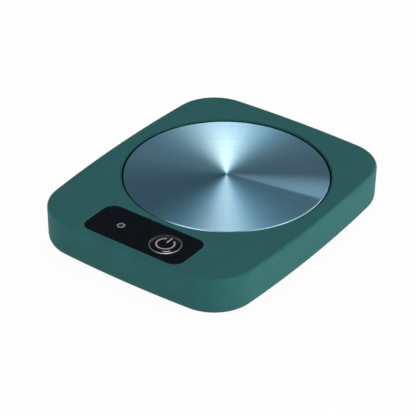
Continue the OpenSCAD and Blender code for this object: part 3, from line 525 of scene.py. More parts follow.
def sheet_metal(name, colour, roughness=0.30, grain=1.4, drawn=0.0, tarnish=0.18):
    """Plated or bare metal, spangled, with duller patches and light scratches."""
    f = Finish(name)
    spangle = f.value("ShaderNodeSeparateColor", None, {0: f.cells("Color", 1 / grain)})
    line = f.drawn_lines()
    dull_and_shade = f.noise(2.2, 4.0, 0.6).step(0.45, 0.75)
    base = f.mix(0.5 * spangle, darker(colour, 0.86), tuple(colour))
    base = f.mix(tarnish * dull_and_shade, base, darker(colour, 0.45))
    rough = roughness + 0.08 * spangle + 0.22 * dull_and_shade + drawn * (line - 0.5)
    return f.surface(base, rough, f.bump(line, 1.0 + 4 * drawn), Metallic=1.0)


def towards_back(f, controls):
    """How far a point of the button lies towards its back left, 1 at the reach of the ring's
    painted shade and the cap's dulling.
    """
    x, y = f.x - BUTTON_AT[0] / MM, f.y - BUTTON_AT[1] / MM
    return (x * -0.583 + y * 0.812) / (controls.fade / MM)


def plated_band(controls):
    """Thin plating round the button, with painted shade darkening it towards its back left."""
    f = Finish("plated_band")
    dull_and_shade = towards_back(f, controls).step(0.1, 0.85)
    cloud = f.noise(1.2, 3.0)
    base = f.mix(0.3 * cloud, darker(controls.ring, 0.85), tuple(controls.ring))
    # Painted shade: the ring turns near black towards its back left.
    base = f.mix(0.85 * dull_and_shade, base, darker(controls.ring, 0.16))
    rough = 0.34 + 0.08 * cloud + 0.1 * dull_and_shade
    return f.surface(base, rough, f.bump(f.drawn_lines(), 1.0), Metallic=1.0)


def handled_gloss(controls):
    """The button's glossy cap, kept bright by fingers and duller towards its back."""
    f = Finish("handled_gloss")
    dull_and_shade = towards_back(f, controls).step(0.35, 0.75)
    smear = f.noise(2.6, 3.0, 0.6, Distortion=0.6)
    base = f.mix(smear, darker(controls.black, 0.25), darker(controls.black, 0.5))
    rough = 0.12 + 0.03 * smear + 0.5 * dull_and_shade
    return f.surface(base, rough, f.bump(f.noise(1.4, 1.0), 0.5), Specular_IOR_Level=0.3)


def circuit_resist(colour):
    """Solder resist over copper tracks, with gold pads here and there."""
    f = Finish("circuit_resist")
    copper = f.value(
        "ShaderNodeTexBrick", {"offset": 0.37, "squash": 1.7, "squash_frequency": 3},
        {"Vector": f.place, "Scale": 1.0, "Mortar Size": 0.14, "Mortar Smooth": 0.1,
         "Brick Width": 3.1, "Row Height": 0.9}, "Fac")
    pad = Value(f, f.cells("Distance", 0.45, Randomness=0.55)).step(0.19, 0.16)
    base = f.mix(copper, tuple(colour), darker(colour, 1.9))
    base = f.mix(0.25 * f.noise(0.5, 2.0), base, darker(colour, 0.5))
    base = f.mix(pad, base, (0.72, 0.66, 0.5))
    return f.surface(base, 0.32 + 0.1 * f.noise(1.2, 2.0), f.bump(copper, 18), Coat_Weight=0.3)


def felted_fibre(colour):
    """Pressed mineral fibre: short strands at random, with loft between them."""
    f = Finish("felted_fibre")
    stray = f.out("ShaderNodeTexNoise", None, {"Vector": f.place, "Scale": 0.5}, 1)
    bent = f.vector("ADD", f.place, f.vector("SCALE", stray, Scale=3.0))
    strand, cross = (
        f.noise(0.35, 4.0, 0.7, vector=f.vector("MULTIPLY", bent, along))
        for along in ((1.0, 0.22, 1.0), (0.22, 1.0, 1.0)))
    web = strand.at_least(cross)
    base = f.mix(web.step(0.35, 0.7), darker(colour, 0.62), tuple(colour))
    return f.surface(base, 0.93, f.bump(web, 90), Specular_IOR_Level=0.15)


def sleeve(name, colour):
    """Extruded lead insulation, with faint lines of print and handling."""
    f = Finish(name)
    fine, cloud = f.noise(0.25, 2.0), f.noise(5.0, 2.0)
    base = f.mix(cloud, darker(colour, 0.82), darker(colour, 1.12))
    return f.surface(base, 0.44 + 0.1 * fine, f.bump(fine, 5), Specular_IOR_Level=0.4)


def inner_finishes():
    """A finish for each slot that no shown piece above names."""
    return {
        "ring_plastic": moulded("ring_moulding", (0.022, 0.022, 0.025), 0.5, 0.35, 9),
        "film": moulded("heater_film_amber", (0.42, 0.17, 0.025), 0.22, 1.6, 4, 0.22),
        "foil": sheet_metal("etched_foil", (0.62, 0.42, 0.24), 0.28, 0.7, 0.15),
        "tinned": sheet_metal("tinned_steel", (0.66, 0.66, 0.63), 0.26, 1.1, 0.08),
        "insulation": felted_fibre((0.72, 0.69, 0.60)),
        "backing_steel": sheet_metal("pressed_steel", (0.50, 0.51, 0.53), 0.34, 2.4, 0.20),
        "epoxy": moulded("epoxy_bead", (0.012, 0.012, 0.014), 0.18, 1.2, 10, 0.2, Coat_Weight=0.5),
        "fuse_ceramic": moulded("fuse_ceramic", (0.72, 0.69, 0.61), 0.30, 0.5, 4, 0.05),
        "tape": moulded("adhesive_tape", (0.60, 0.60, 0.57), 0.62, 0.8, 6, 0.06),
        "board": circuit_resist((0.012, 0.085, 0.035)),
        "switch_black": moulded("switch_moulding", (0.017, 0.017, 0.018), 0.42, 0.3, 6),
        "chip_black": moulded("chip_moulding", (0.014, 0.014, 0.016), 0.55, 0.18, 8),
        "can": sheet_metal("capacitor_can", (0.62, 0.63, 0.66), 0.22, 3.0, 0.10, 0.08),
        "led_white": moulded("led_lens", (0.80, 0.79, 0.68), 0.16, 1.0, 2, 0.06),
        "header_nylon": moulded("header_nylon", (0.72, 0.69, 0.58), 0.40, 0.5, 5, 0.08),
        "contact_gold": sheet_metal("contact_gold", (0.78, 0.52, 0.16), 0.18, 0.4, 0.05, 0.06),
        "heater_lead": sleeve("heater_lead_sleeve", (0.36, 0.016, 0.010)),
        "sensor_lead": sleeve("sensor_lead_sleeve", (0.62, 0.42, 0.025)),
        "inlet_lead": sleeve("inlet_lead_sleeve", (0.26, 0.012, 0.010)),
    }


# ---------------------------------------------------------------- mesh tools


def link(name, data):
    piece = bpy.data.objects.new(name, data)
    bpy.context.scene.collection.objects.link(piece)
    return piece


def solid(name, points, faces):
    """An object with outward faces from points and faces."""
    mesh = bpy.data.meshes.new(name)
    mesh.from_pydata([tuple(p) for p in points], [], faces)
    work = bmesh.new()
    work.from_mesh(mesh)
    bmesh.ops.recalc_face_normals(work, faces=work.faces)
    work.to_mesh(mesh)
    work.free()
    return link(name, mesh)


def arc(radius, start, sweep, steps, centre=(0, 0)):
    """The points of an arc about a centre, both ends among them."""
    turns = [start + sweep * k / steps for k in range(steps + 1)]
    return [(centre[0] + radius * math.cos(a), centre[1] + radius * math.sin(a)) for a in turns]


def rounding(steps, count=None):
    """The way along a quarter round of radius 1: how far out, and how far still to rise."""
    turns = [math.pi / 2 * k / steps for k in range((count or steps) + 1)]
    return [(1 - math.cos(a), 1 - math.sin(a)) for a in turns]


def eased(corners, radius, steps=4, closed=False):
    """A profile with its corners rounded. A third number is a corner's own radius."""
    out, count = [], len(corners)
    for i, corner in enumerate(corners):
        here = Vector(corner[:2])
        own = corner[2] if len(corner) > 2 else radius
        if own <= 0 or (not closed and i in (0, count - 1)):
            out.append((here.x, here.y))
            continue
        back = Vector(corners[i - 1][:2]) - here
        on = Vector(corners[(i + 1) % count][:2]) - here
        half = back.angle(on) / 2
        if half > math.radians(89):
            out.append((here.x, here.y))
            continue
        reach = min(own / math.tan(half), back.length * 0.49, on.length * 0.49)
        own = reach * math.tan(half)
        middle = here + (back.normalized() + on.normalized()).normalized() * own / math.sin(half)
        first = here + back.normalized() * reach - middle
        last = here + on.normalized() * reach - middle
        start = math.atan2(first.y, first.x)
        sweep = (math.atan2(last.y, last.x) - start + math.pi) % (2 * math.pi) - math.pi
        out += arc(own, start, sweep, steps, middle)
    return out


def lathe(name, profile, centre=(0, 0), steps=128):
    """A solid turned about a vertical axis from (radius, height) points, open or closed."""
    points, faces, rings = [], [], []
    for r, z in profile:
        if r < 1e-9:
            rings.append([len(points)] * steps)
            points.append((*centre, z))
            continue
        rings.append(range(len(points), len(points) + steps))
        points += [(x, y, z) for x, y in arc(r, 0, 2 * math.pi, steps, centre)[:-1]]
    closed = profile[0][0] > 1e-9 and profile[-1][0] > 1e-9
    for k in range(len(rings) - (0 if closed else 1)):
        low, high = rings[k], rings[(k + 1) % len(rings)]
        for i in range(steps):
            j = (i + 1) % steps
            face = tuple(dict.fromkeys((low[i], low[j], high[j], high[i])))
            if len(face) > 2:
                faces.append(face)
    return solid(name, points, faces)


def skin(name, loops):
    """A closed solid over loops of as many points each, from the lowest up."""
    count, last = len(loops[0]), (len(loops) - 1) * len(loops[0])
    faces = [tuple(reversed(range(count)))]
    for k in range(len(loops) - 1):
        for i in range(count):
            a, b = k * count + i, k * count + (i + 1) % count
            faces.append((a, b, b + count, a + count))
    faces.append(tuple(range(last, last + count)))
    return solid(name, [p for loop in loops for p in loop], faces)


def prism(name, outline, low, high, centre=(0, 0)):
    moved = [(x + centre[0], y + centre[1]) for x, y in outline]
    return skin(name, [[(x, y, z) for x, y in moved] for z in (low, high)])


def rod(name, centre, radius, low, high, steps=48):
    return lathe(name, [(0, low), (radius, low), (radius, high), (0, high)], centre, steps)


def rounded_rectangle(width, depth, radius, grow=0.0, steps=10):
    """The points of a rectangle with round corners, moved outwards by grow."""
    points = []
    for quarter, (sx, sy) in enumerate(((1, 1), (-1, 1), (-1, -1), (1, -1))):
        middle = sx * (width / 2 - radius), sy * (depth / 2 - radius)
        points += arc(radius + grow, math.pi / 2 * quarter, math.pi / 2, steps, middle)
    return points


def settle(piece):
    """Turns a piece with its modifiers into a plain mesh."""
    graph = bpy.context.evaluated_depsgraph_get()
    old = piece.data
    mesh = bpy.data.meshes.new_from_object(
        piece.evaluated_get(graph), preserve_all_data_layers=True, depsgraph=graph)
    piece.modifiers.clear()
    piece.data = mesh
    bpy.data.meshes.remove(old)
    mesh.name = piece.name
    return piece


def combine(operation, piece, others):
    """Joins others to a piece or cuts them away, and uses them up."""
    for other in others:
        step = piece.modifiers.new("combine", "BOOLEAN")
        step.operation, step.object, step.solver = operation, other, "MANIFOLD"
        settle(piece)
        bpy.data.objects.remove(other)
        if not piece.data.polygons:
            raise RuntimeError(f"{piece.name} came out empty")


def join(piece, *others):
    combine("UNION", piece, others)


def cut(piece, *others):
    combine("DIFFERENCE", piece, others)


def bored_post(piece, at, radius, span, bore, bore_span):
    """Joins an upright post to a piece, and bores it for a screw."""
    join(piece, rod("post", at, radius, *span))
    cut(piece, rod("bore", at, bore, *bore_span, 32))


def smooth(piece, degrees=32):
    """Smooth shading in which the flat faces stay flat."""
    piece.data.shade_smooth()
    piece.data.set_sharp_from_angle(angle=math.radians(degrees))
    step = piece.modifiers.new("even", "WEIGHTED_NORMAL")
    step.keep_sharp = True
    return settle(piece)


def dress(piece, material, slot, body, *nodes):
    """Gives a finished piece its material and its body, and hides the solids that it stands for."""
    piece.data.materials.clear()
    piece.data.materials.append(material)
    for face in piece.data.polygons:
        face.material_index = 0
    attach(piece, body)
    if nodes:
        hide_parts(*nodes)


# ---------------------------------------------------------------- outlines


class BowedOutline:
    """The casing seen from above: four long arcs joined by four corner arcs."""

    def __init__(self, casing):
        hx, hy = casing.width / 2, casing.depth / 2
        self.corner = casing.corner
        self.side = (hy**2 + casing.side_bow**2) / (2 * casing.side_bow)
        self.end = (hx**2 + casing.end_bow**2) / (2 * casing.end_bow)
        self.side_centre = Vector((hx - self.side, 0.0))
        self.end_centre = Vector((0.0, hy - self.end))
        a, b = self.side_centre, self.end_centre
        ra, rb = self.side - self.corner, self.end - self.corner
        gap = (b - a).length
        along = (ra**2 - rb**2 + gap**2) / (2 * gap)
        u = (b - a) / gap
        off = Vector((u.y, -u.x)) * math.sqrt(ra**2 - along**2)
        crossings = a + u * along + off, a + u * along - off
        self.corner_centre = max(crossings, key=lambda p: p.x + p.y)
        c = self.corner_centre
        self.from_side = math.atan2(c.y, c.x - a.x)
        self.to_end = math.atan2(c.y - b.y, c.x)

    def corner_point(self, inset):
        reach = (self.corner - inset) * math.sqrt(0.5)
        return self.corner_centre.x + reach, self.corner_centre.y + reach

    def loop(self, inset, z):
        """The points of the outline, moved in by inset, at one height."""
        quarter = []
        for c, r, start, stop, count in (
            (self.side_centre, self.side, 0.0, self.from_side, 10),
            (self.corner_centre, self.corner, self.from_side, self.to_end, 22),
            (self.end_centre, self.end, self.to_end, math.pi / 2, 8),
        ):
            points = arc(r - inset, start, stop - start, count, c)
            quarter += points[1:] if quarter else points
        whole = (
            quarter
            + [(-x, y) for x, y in quarter[-2::-1]]
            + [(-x, -y) for x, y in quarter[1:]]
            + [(x, -y) for x, y in quarter[-2:0:-1]]
        )
        return [(x, y, z) for x, y in whole]

    def corners(self, inset):
        """Four places on the corners' diagonals, each with the way in which it faces."""
        x, y = self.corner_point(inset)
        return [
            (sx * x, sy * y, math.radians(turn))
            for sx, sy, turn in ((1, 1, 45), (-1, 1, 135), (-1, -1, 225), (1, -1, -45))
        ]


# ---------------------------------------------------------------- geometry nodes


class Grower(Graph):
    """A geometry node tree with named inputs, used once on an object and then settled."""

    def __init__(self, name, inputs):
        tree = bpy.data.node_groups.new(name, "GeometryNodeTree")
        super().__init__(tree)
        new = tree.interface.new_socket
        new("Geometry", in_out="INPUT", socket_type="NodeSocketGeometry")
        self.sockets = {
            label: new(label, in_out="INPUT", socket_type="NodeSocket" + kind).identifier
            for label, kind in inputs.items()}
        new("Geometry", in_out="OUTPUT", socket_type="NodeSocketGeometry")
        self.given = self.node("NodeGroupInput").outputs

    def number(self, label):
        return Value(self, self.given[label])

    def shift(self, **parts):
        """A vector from its named parts."""
        return self.out("ShaderNodeCombineXYZ", None, parts)

    def close(self, geometry):
        """Ends the tree: real geometry, in its material."""
        real = self.out("GeometryNodeRealizeInstances", None, {0: geometry})
        done = self.out("GeometryNodeSetMaterial", None, {
            "Geometry": real, "Material": self.given["Material"]})
        self.node("NodeGroupOutput", None, {0: done})

    def grow(self, piece, values):
        """Runs the tree on a piece with these values and leaves a plain mesh."""
        step = piece.modifiers.new(self.tree.name, "NODES")
        step.node_group = self.tree
        for label, value in values.items():
            step[self.sockets[label]] = value
        return settle(piece)


def copies_tree():
    """A copy of one item at each point, turned about the vertical by the point's own angle."""
    g = Grower("copies_at_points", {"Item": "Object", "Material": "Material"})
    item = g.out(
        "GeometryNodeObjectInfo", {"transform_space": "ORIGINAL"}, {"Object": g.given["Item"]},
        "Geometry")
    turn = g.out("GeometryNodeInputNamedAttribute", {"data_type": "FLOAT"}, {"Name": "turn"})
    way = g.out("FunctionNodeEulerToRotation", None, {0: g.shift(Z=turn)})
    g.close(g.out("GeometryNodeInstanceOnPoints", None, {
        "Points": g.given["Geometry"], "Instance": item, "Rotation": way}))
    return g


def vents_tree():
    """A row of round-ended slots cut through a plate."""
    g = Grower("vent_slots", {
        "Length": "Float", "Width": "Float", "Pitch": "Float", "Count": "Int",
        "Middle": "Vector", "Depth": "Float", "Material": "Material"})
    shape = g.out("GeometryNodeCurvePrimitiveQuadrilateral", None, {
        "Width": g.given["Length"], "Height": g.given["Width"]})
    round_ended = g.out("GeometryNodeFilletCurve", {"mode": "POLY"}, {
        "Curve": shape, "Count": 8, "Radius": g.number("Width") * 0.4999})
    filled = g.out("GeometryNodeFillCurve", {"mode": "NGONS"}, {0: round_ended})
    raised = g.out("GeometryNodeExtrudeMesh", {"mode": "FACES"}, {
        "Mesh": filled, "Offset": g.shift(Z=g.number("Depth")), "Offset Scale": 1.0,
        "Individual": False})
    both = g.node("GeometryNodeJoinGeometry", None, {0: raised})
    g.feed(both.inputs[0], g.out("GeometryNodeFlipFaces", None, {0: filled}))
    cutter = g.out("GeometryNodeMergeByDistance", None, {
        "Geometry": both.outputs[0], "Distance": 1e-7})
    half_span = g.number("Pitch") * (g.number("Count") - 1) / 2
    start = g.out("ShaderNodeVectorMath", {"operation": "SUBTRACT"}, {
        0: g.given["Middle"], 1: g.shift(Y=half_span)})
    line = g.out("GeometryNodeMeshLine", {"mode": "OFFSET"}, {
        "Count": g.given["Count"], "Start Location": start,
        "Offset": g.shift(Y=g.number("Pitch"))})
    row = g.out("GeometryNodeInstanceOnPoints", None, {"Points": line, "Instance": cutter})
    real = g.out("GeometryNodeRealizeInstances", None, {0: row})
    g.close(g.out("GeometryNodeMeshBoolean", {"operation": "DIFFERENCE", "solver": "EXACT"}, {
        0: g.given["Geometry"], 1: real}))
    return g


def place_copies(tree, name, item, places, z, material):
    """Copies of item at (x, y, turn) places as one mesh. The item is used up."""
    mesh = bpy.data.meshes.new(name)
    mesh.from_pydata([(x, y, z) for x, y, _ in places], [], [])
    turns = mesh.attributes.new("turn", "FLOAT", "POINT")
    turns.data.foreach_set("value", [turn for _, _, turn in places])
    piece = tree.grow(link(name, mesh), {"Item": item, "Material": material})
    bpy.data.objects.remove(item)
    if not piece.data.polygons:
        raise RuntimeError(f"{name} came out empty")
    return piece


# ---------------------------------------------------------------- casing


def post_inset(s):
    """How far the corner screws lie inside the casing's outline."""
    return s.casing.wall + s.casing.post_in + s.underside.seam


def outer_skin(casing, outline):
    """The casing's outside as a solid, with its rounded lower and upper edges."""
    loops = [
        outline.loop(casing.draft + casing.base_edge * rise, casing.base + casing.base_rise * run)
        for run, rise in rounding(8)]
    loops += [
        outline.loop(casing.top_edge * run, casing.top - casing.top_edge * rise)
        for run, rise in rounding(8)]
    return skin("casing_shell", loops)


def collar(casing, plate):
    """The ring that hangs from the top round the plate's opening."""
    inner, outer = plate.radius + plate.gap - PAST, plate.radius + plate.gap + plate.collar
    low, high = casing.ceiling - plate.collar_drop, casing.ceiling + casing.root
    profile = eased([(inner, low), (outer, low, 0.3 * MM), (outer, high), (inner, high)],
                    0, 3, True)
    return lathe("collar", profile, (0, plate.centre), FINE)


def corner_post(s, place, high):
    """A boss for a corner screw, and the rib that ties it to the wall."""
    x, y, turn = place
    way = Vector((math.cos(turn), math.sin(turn))) * (post_inset(s) - s.casing.wall / 2)
    side = Vector((-way.y, way.x)).normalized() * 0.7 * MM
    start, stop = Vector((x, y)), Vector((x, y)) + way
    outline = [tuple(p) for p in (start - side, stop - side, stop + side, start + side)]
    return (
        rod("boss", (x, y), 3 * MM, COVER.high.z, high),
        prism("rib", outline, COVER.high.z, high))


def plate_opening(casing, plate):
    """The cutter for the round opening, whose slope runs softly into the top."""
    r, top, past = plate.radius + plate.gap, casing.top, casing.top + 2 * MM
    low, out = casing.ceiling - plate.collar_drop - PAST, r + 4 * MM
    profile = eased([
        (0, low), (r, low, 0), (r, top - 0.005 * MM, casing.lip),
        (out, top + 0.04 * MM, 0), (out, past, 0), (0, past),
    ], 0, 10)
    return lathe("opening", profile, (0, plate.centre), FINE)


def panel_skin(name, controls, levels, grow=0.0, steps=12):
    """A solid over the panel's outline, moved out by its own amount at each level."""
    return skin(name, [
        [(x, y + PANEL.y, z) for x, y in rounded_rectangle(
            PANEL.width, PANEL.depth, controls.corner, grow + out, steps)]
        for out, z in levels])


def panel_pocket(casing, controls):
    """The cutter for the panel's seat, with a small round along its mouth."""
    top, edge = casing.top, controls.pocket_edge
    levels = [(0, PANEL.low.z - controls.tape)]
    levels += [(edge * run, top - edge * rise) for run, rise in rounding(6, 5)]
    levels += [(edge * 1.6, top + 0.05 * MM), (edge * 1.6, top + PAST)]
    return panel_skin("pocket", controls, levels, controls.play)


def inlet_mouth(casing):
    """The cutter for the power inlet's opening, wider towards its mouth."""
    width, height = INLET.width + 0.6 * MM, INLET.height + 0.6 * MM
    face, edge = casing.depth / 2 - casing.draft / 2, 0.3 * MM
    levels = (
        (0, casing.depth / 2 - 4 * MM), (0, face - edge), (edge * 0.3, face - edge * 0.3),
        (edge * 1.3, face + 0.2 * MM), (edge * 1.3, face + 2 * MM))
    return skin("inlet_mouth", [
        [(x, y, INLET.z + h) for x, h in rounded_rectangle(width, height, height * 0.4999, out)]
        for out, y in levels])


def ear_places(plate):
    """Where the retaining ring's four ears are screwed to the casing."""
    reach, turns = plate.radius + plate.flange + plate.ear, [math.radians(a) for a in EAR_TURNS]
    return [(reach * math.cos(a), plate.centre + reach * math.sin(a)) for a in turns]


def board_places():
    """Where the control board's four screws go, in from its edges."""
    x, y = BOARD.high.x - 3 * MM, 5.5 * MM
    return [(sx * x, BOARD.y + sy * y) for sx in (-1, 1) for sy in (-1, 1)]


class MUGWARMER_OT_casing(Operator):
    """Make the moulded upper casing"""

    bl_idname = "mug_warmer.casing"
    bl_label = "Upper Casing"

    def execute(self, context):
        s = context.scene.mug_warmer
        casing, plate, controls = s.casing, s.plate, s.controls
        outline, root = BowedOutline(casing), casing.ceiling + casing.root
        corners = outline.corners(post_inset(s))
        shell = outer_skin(casing, outline)
        cut(shell, skin("cavity", [
            outline.loop(casing.wall, z) for z in (casing.base - PAST, casing.ceiling)]))
        join(shell, collar(casing, plate))
        for place in corners:
            join(shell, *corner_post(s, place, root))
        cut(shell, plate_opening(casing, plate), panel_pocket(casing, controls))
        for at in ear_places(plate):
            bored_post(shell, at, 2.6 * MM, (PLATE.low.z, root),
                       1.3 * MM, (PLATE.low.z - PAST, RING_SCREWS.high.z + 0.3 * MM))
        for at in board_places():
            bored_post(shell, at, 2.1 * MM, (BOARD.high.z, root),
                       0.9 * MM, (BOARD.high.z - PAST, BOARD.high.z + 4 * MM))
        bore = COVER.high.z - PAST, CASING_SCREWS.high.z + 0.5 * MM
        for x, y, _ in corners:
            cut(shell, rod("screw_bore", (x, y), 1.5 * MM, *bore, 32))
        through = casing.ceiling - PAST, casing.top + PAST
        cut(
            shell,
            rod("button_hole", BUTTON_AT, RING.width / 2 + controls.play, *through, 96),
            rod("light_hole", LIGHT_AT, controls.pipe + 0.1 * MM, *through),
            inlet_mouth(casing),
        )
        dress(smooth(shell), casing_plastic(casing, plate), "casing", "body", "upper_casing")
        return {"FINISHED"}


# ---------------------------------------------------------------- heating plate


class MUGWARMER_OT_plate(Operator):
    """Make the spun heating plate and its seal"""

    bl_idname = "mug_warmer.plate"
    bl_label = "Heating Plate"

    def execute(self, context):
        s = context.scene.mug_warmer
        casing, p = s.casing, s.plate
        r, top, foot = p.radius, PLATE.high.z, PLATE.low.z
        under, flange, step = top - p.thickness, r + p.flange, foot + p.flange_rise
        rings = [(r - p.bevel - k * 5 * MM, top, 0) for k in range(1, 8)]
        profile = eased([
            (0, under), (r - p.skirt, under, 0.5 * MM), (r - p.skirt, foot),
            (flange, foot, 0.15 * MM), (flange, step, 0.15 * MM), (r, step, 0.3 * MM),
            (r, top - p.bevel, 0.04 * MM), (r - p.bevel, top, 0.04 * MM), *rings, (0, top),
        ], 0.1 * MM, 3)
        disc = smooth(lathe("spun_plate", profile, (0, p.centre), FINE), 40)
        dress(disc, spun_metal(p), "plate", "body", "heating_plate")

        drop, lip, low = casing.top - p.seal_drop, SEAL.high.z, casing.ceiling - p.collar_drop
        inner, outer = r + p.press, r + p.gap - p.press
        # The seal's lip up the casing's wall is a dark sheet that stands in for the shade in the
        # gap.
        profile = eased([
            (inner, SEAL.low.z), (flange, SEAL.low.z), (flange, low), (outer, low, 0),
            (outer, lip, 0.05 * MM), (outer - p.shade_liner, lip, 0.05 * MM),
            (outer - p.shade_liner, drop, 0.15 * MM), (inner, drop, 0.10 * MM),
        ], 0.12 * MM, 3, True)
        seal = smooth(lathe("gap_seal", profile, (0, p.centre), FINE), 50)
        rubber = soft_rubber("seal_rubber", p.seal, darker(p.seal, 2.5), 0.0)
        dress(seal, rubber, "seal_rubber", "body", "plate_seal")
        return {"FINISHED"}


# ---------------------------------------------------------------- controls


def power_symbol(controls, grow=0.0):
    """Two outlines, the broken ring with round ends and the upright bar."""
    half, r = controls.mark_stroke / 2 + grow, controls.mark_radius
    gap = controls.mark_gap + half / r * 0.6
    start, stop = math.pi / 2 + gap, math.pi / 2 - gap + 2 * math.pi

    def cap(at, turn):
        """The round end at this angle of the ring, without its two corners."""
        return arc(half, turn, math.pi, 8, (r * math.cos(at), r * math.sin(at)))[1:-1]

    ring = arc(r + half, start, stop - start, 72) + cap(stop, stop)
    ring += arc(r - half, stop, start - stop, 72) + cap(start, start + math.pi)
    low, high = controls.bar_low, controls.bar_high
    bar = rounded_rectangle(2 * half, high - low + 2 * grow, half * 0.98, 0.0, 6)
    return ring, [(x, y + (low + high) / 2) for x, y in bar]


class MUGWARMER_OT_controls(Operator):
    """Make the glossy panel, the push button and the light"""

    bl_idname = "mug_warmer.controls"
    bl_label = "Control Panel"

    def execute(self, context):
        s = context.scene.mug_warmer
        c = s.controls
        mark_out = MARK.width / 2
        mark_in = mark_out - c.light_stroke
        pipe = mark_in - 0.2 * MM
        self.panel(c, mark_in, mark_out, pipe)
        self.light(s, mark_in, mark_out, pipe)
        self.button(s)
        return {"FINISHED"}

    def panel(self, c, mark_in, mark_out, pipe):
        edge, low, top = c.panel_edge, PANEL.low.z, PANEL.high.z
        levels = [(0, low)] + [(-edge * run, top - edge * rise) for run, rise in rounding(4)]
        panel = panel_skin("gloss_panel", c, levels, steps=14)
        hole, past = RING.width / 2 + c.play, top + PAST
        mouth = hole + 0.12 * MM
        cut(panel, lathe("button_mouth", [
            (0, low - PAST), (hole, low - PAST), (hole, top - 0.1 * MM),
            (hole + 0.03 * MM, top - 0.03 * MM), (mouth, top + 0.02 * MM),
            (mouth, past), (0, past)], BUTTON_AT))
        cut(panel, rod("light_mouth", LIGHT_AT, pipe + 0.05 * MM, low - PAST, past, 64))
        inner, outer, floor = mark_in - 0.02 * MM, mark_out + 0.02 * MM, top - c.print_depth
        cut(panel, lathe("mark_groove", [
            (inner, floor), (outer, floor), (outer, past), (inner, past)], LIGHT_AT, 96))
        gloss = gloss_black("panel_gloss", c.black)
        dress(smooth(panel), gloss, "panel_gloss", "body", "control_panel")

    def light(self, s, mark_in, mark_out, pipe):
        c, top, ceiling = s.controls, PANEL.high.z, s.casing.ceiling
        low, edge = top - 0.01 * MM, 0.04 * MM
        ring = lathe("light_ring", [
            (mark_in, top - c.print_depth), (mark_out, top - c.print_depth), (mark_out, low),
            (mark_out - edge, top), (mark_in + edge, top), (mark_in, low)], LIGHT_AT, 96)
        ink = printed_grey("printed_dim", c.dim)
        dress(smooth(ring), ink, "print_grey", "body", "indicator_mark")

        face, step = top - 0.05 * MM, ceiling - 0.8 * MM
        lens = lathe("light_lens", eased([
            (0, PIPE.low.z), (c.pipe, PIPE.low.z), (c.pipe, step, 0), (c.pipe_flange, step),
            (c.pipe_flange, ceiling, 0.1 * MM), (c.pipe, ceiling, 0), (c.pipe, PANEL.low.z),
            (pipe, PANEL.low.z, 0), (pipe, face, 0.15 * MM), (0, face)], 0.08 * MM, 3),
            LIGHT_AT, 64)
        smoked = moulded(
            "smoked_lens", (0.012, 0.014, 0.018), 0.14, 0.8, 1, 0.3, Coat_Weight=0.4)
        dress(smooth(lens), smoked, "light_pipe", "body", "light_pipe")

    def button(self, s):
        c, at = s.controls, BUTTON_AT
        out, shelf, high, face = RING.width / 2, RING.low.z, RING.high.z, BUTTON.high.z
        cap, flange = out - c.rim, BUTTON.high.x - at[0]
        flange_top = s.casing.ceiling - 0.1 * MM
        flange_low = flange_top - c.flange
        roof, wall = face - c.shell, cap - 1.1 * MM
        body = lathe("button_cap", eased([
            (0, BUTTON.low.z), (c.stem, BUTTON.low.z, 0.2 * MM), (c.stem, roof, 0.2 * MM),
            (wall, roof, 0.3 * MM), (wall, flange_low),
            (flange, flange_low, 0.15 * MM), (flange, flange_top, 0.15 * MM), (out, flange_top),
            (out, shelf, 0), (cap, shelf, 0), (cap, high - c.rim / 4, 0.05 * MM),
            (cap - c.slope, face, 0.8 * MM), (0, face)], 0.1 * MM, 5), at)
        floor = face - c.print_depth
        for shape in power_symbol(c, 0.015 * MM):
            cut(body, prism("symbol_bed", shape, floor, face + PAST, at))
        dress(smooth(body), handled_gloss(c), "button_gloss", "button", "power_button")

        ring, bar = power_symbol(c)
        symbol = prism("power_symbol", ring, floor, face, at)
        join(symbol, prism("symbol_bar", bar, floor, face, at))
        ink = printed_grey("printed_grey", c.grey)
        dress(smooth(symbol), ink, "print_grey", "button", "power_mark")

        inner = cap + 0.02 * MM
        band = lathe("button_band", eased([
            (inner, shelf), (out, shelf, 0.05 * MM), (out, high - 0.12 * MM, 0.04 * MM),
            (out - 0.44 * MM, high, 0.05 * MM), (inner, high - 0.05 * MM, 0.02 * MM),
        ], 0, 4, True), at)
        dress(smooth(band, 50), plated_band(c), "ring_metal", "button", "button_ring")


# ---------------------------------------------------------------- underside


def cross_screw(name, diameter, length, head, head_height, pitch=0.9 * MM):
    """A screw that points up from z = 0, its head below with a cross recess."""
    crest, root, neck = diameter / 2, diameter / 2 * 0.84, 0.4 * MM
    thread, z = [(crest, neck)], 0.6 * MM
    while z + pitch < length - 0.8 * MM:
        thread += [(root, z), (root, z + pitch * 0.35),
                   (crest, z + pitch * 0.65), (crest, z + pitch * 0.75)]
        z += pitch
    thread += [(root, z + 0.1 * MM), (crest * 0.55, length), (0, length)]
    rim = head / 2
    crown = eased([
        (0, -head_height), (rim - 0.25 * MM, -head_height, 0.5 * MM),
        (rim, -head_height * 0.45, 0.4 * MM), (rim, 0, 0.08 * MM), (crest, 0, 0),
        (crest, neck)], 0, 4)
    piece = lathe(name, crown[:-1] + thread, (0, 0), 40)
    arm, width, deep = head * 0.30, head * 0.075, head_height * 0.68
    for across, along in ((arm, width), (width, arm)):
        cut(piece, skin("recess", [
            [(x * k, y * k, z) for x, y in (
                (across, along), (-across, along), (-across, -along), (across, -along))]
            for z, k in ((-head_height - 0.2 * MM, 1.0), (-head_height + deep, 0.62))]))
    return smooth(piece, 40)


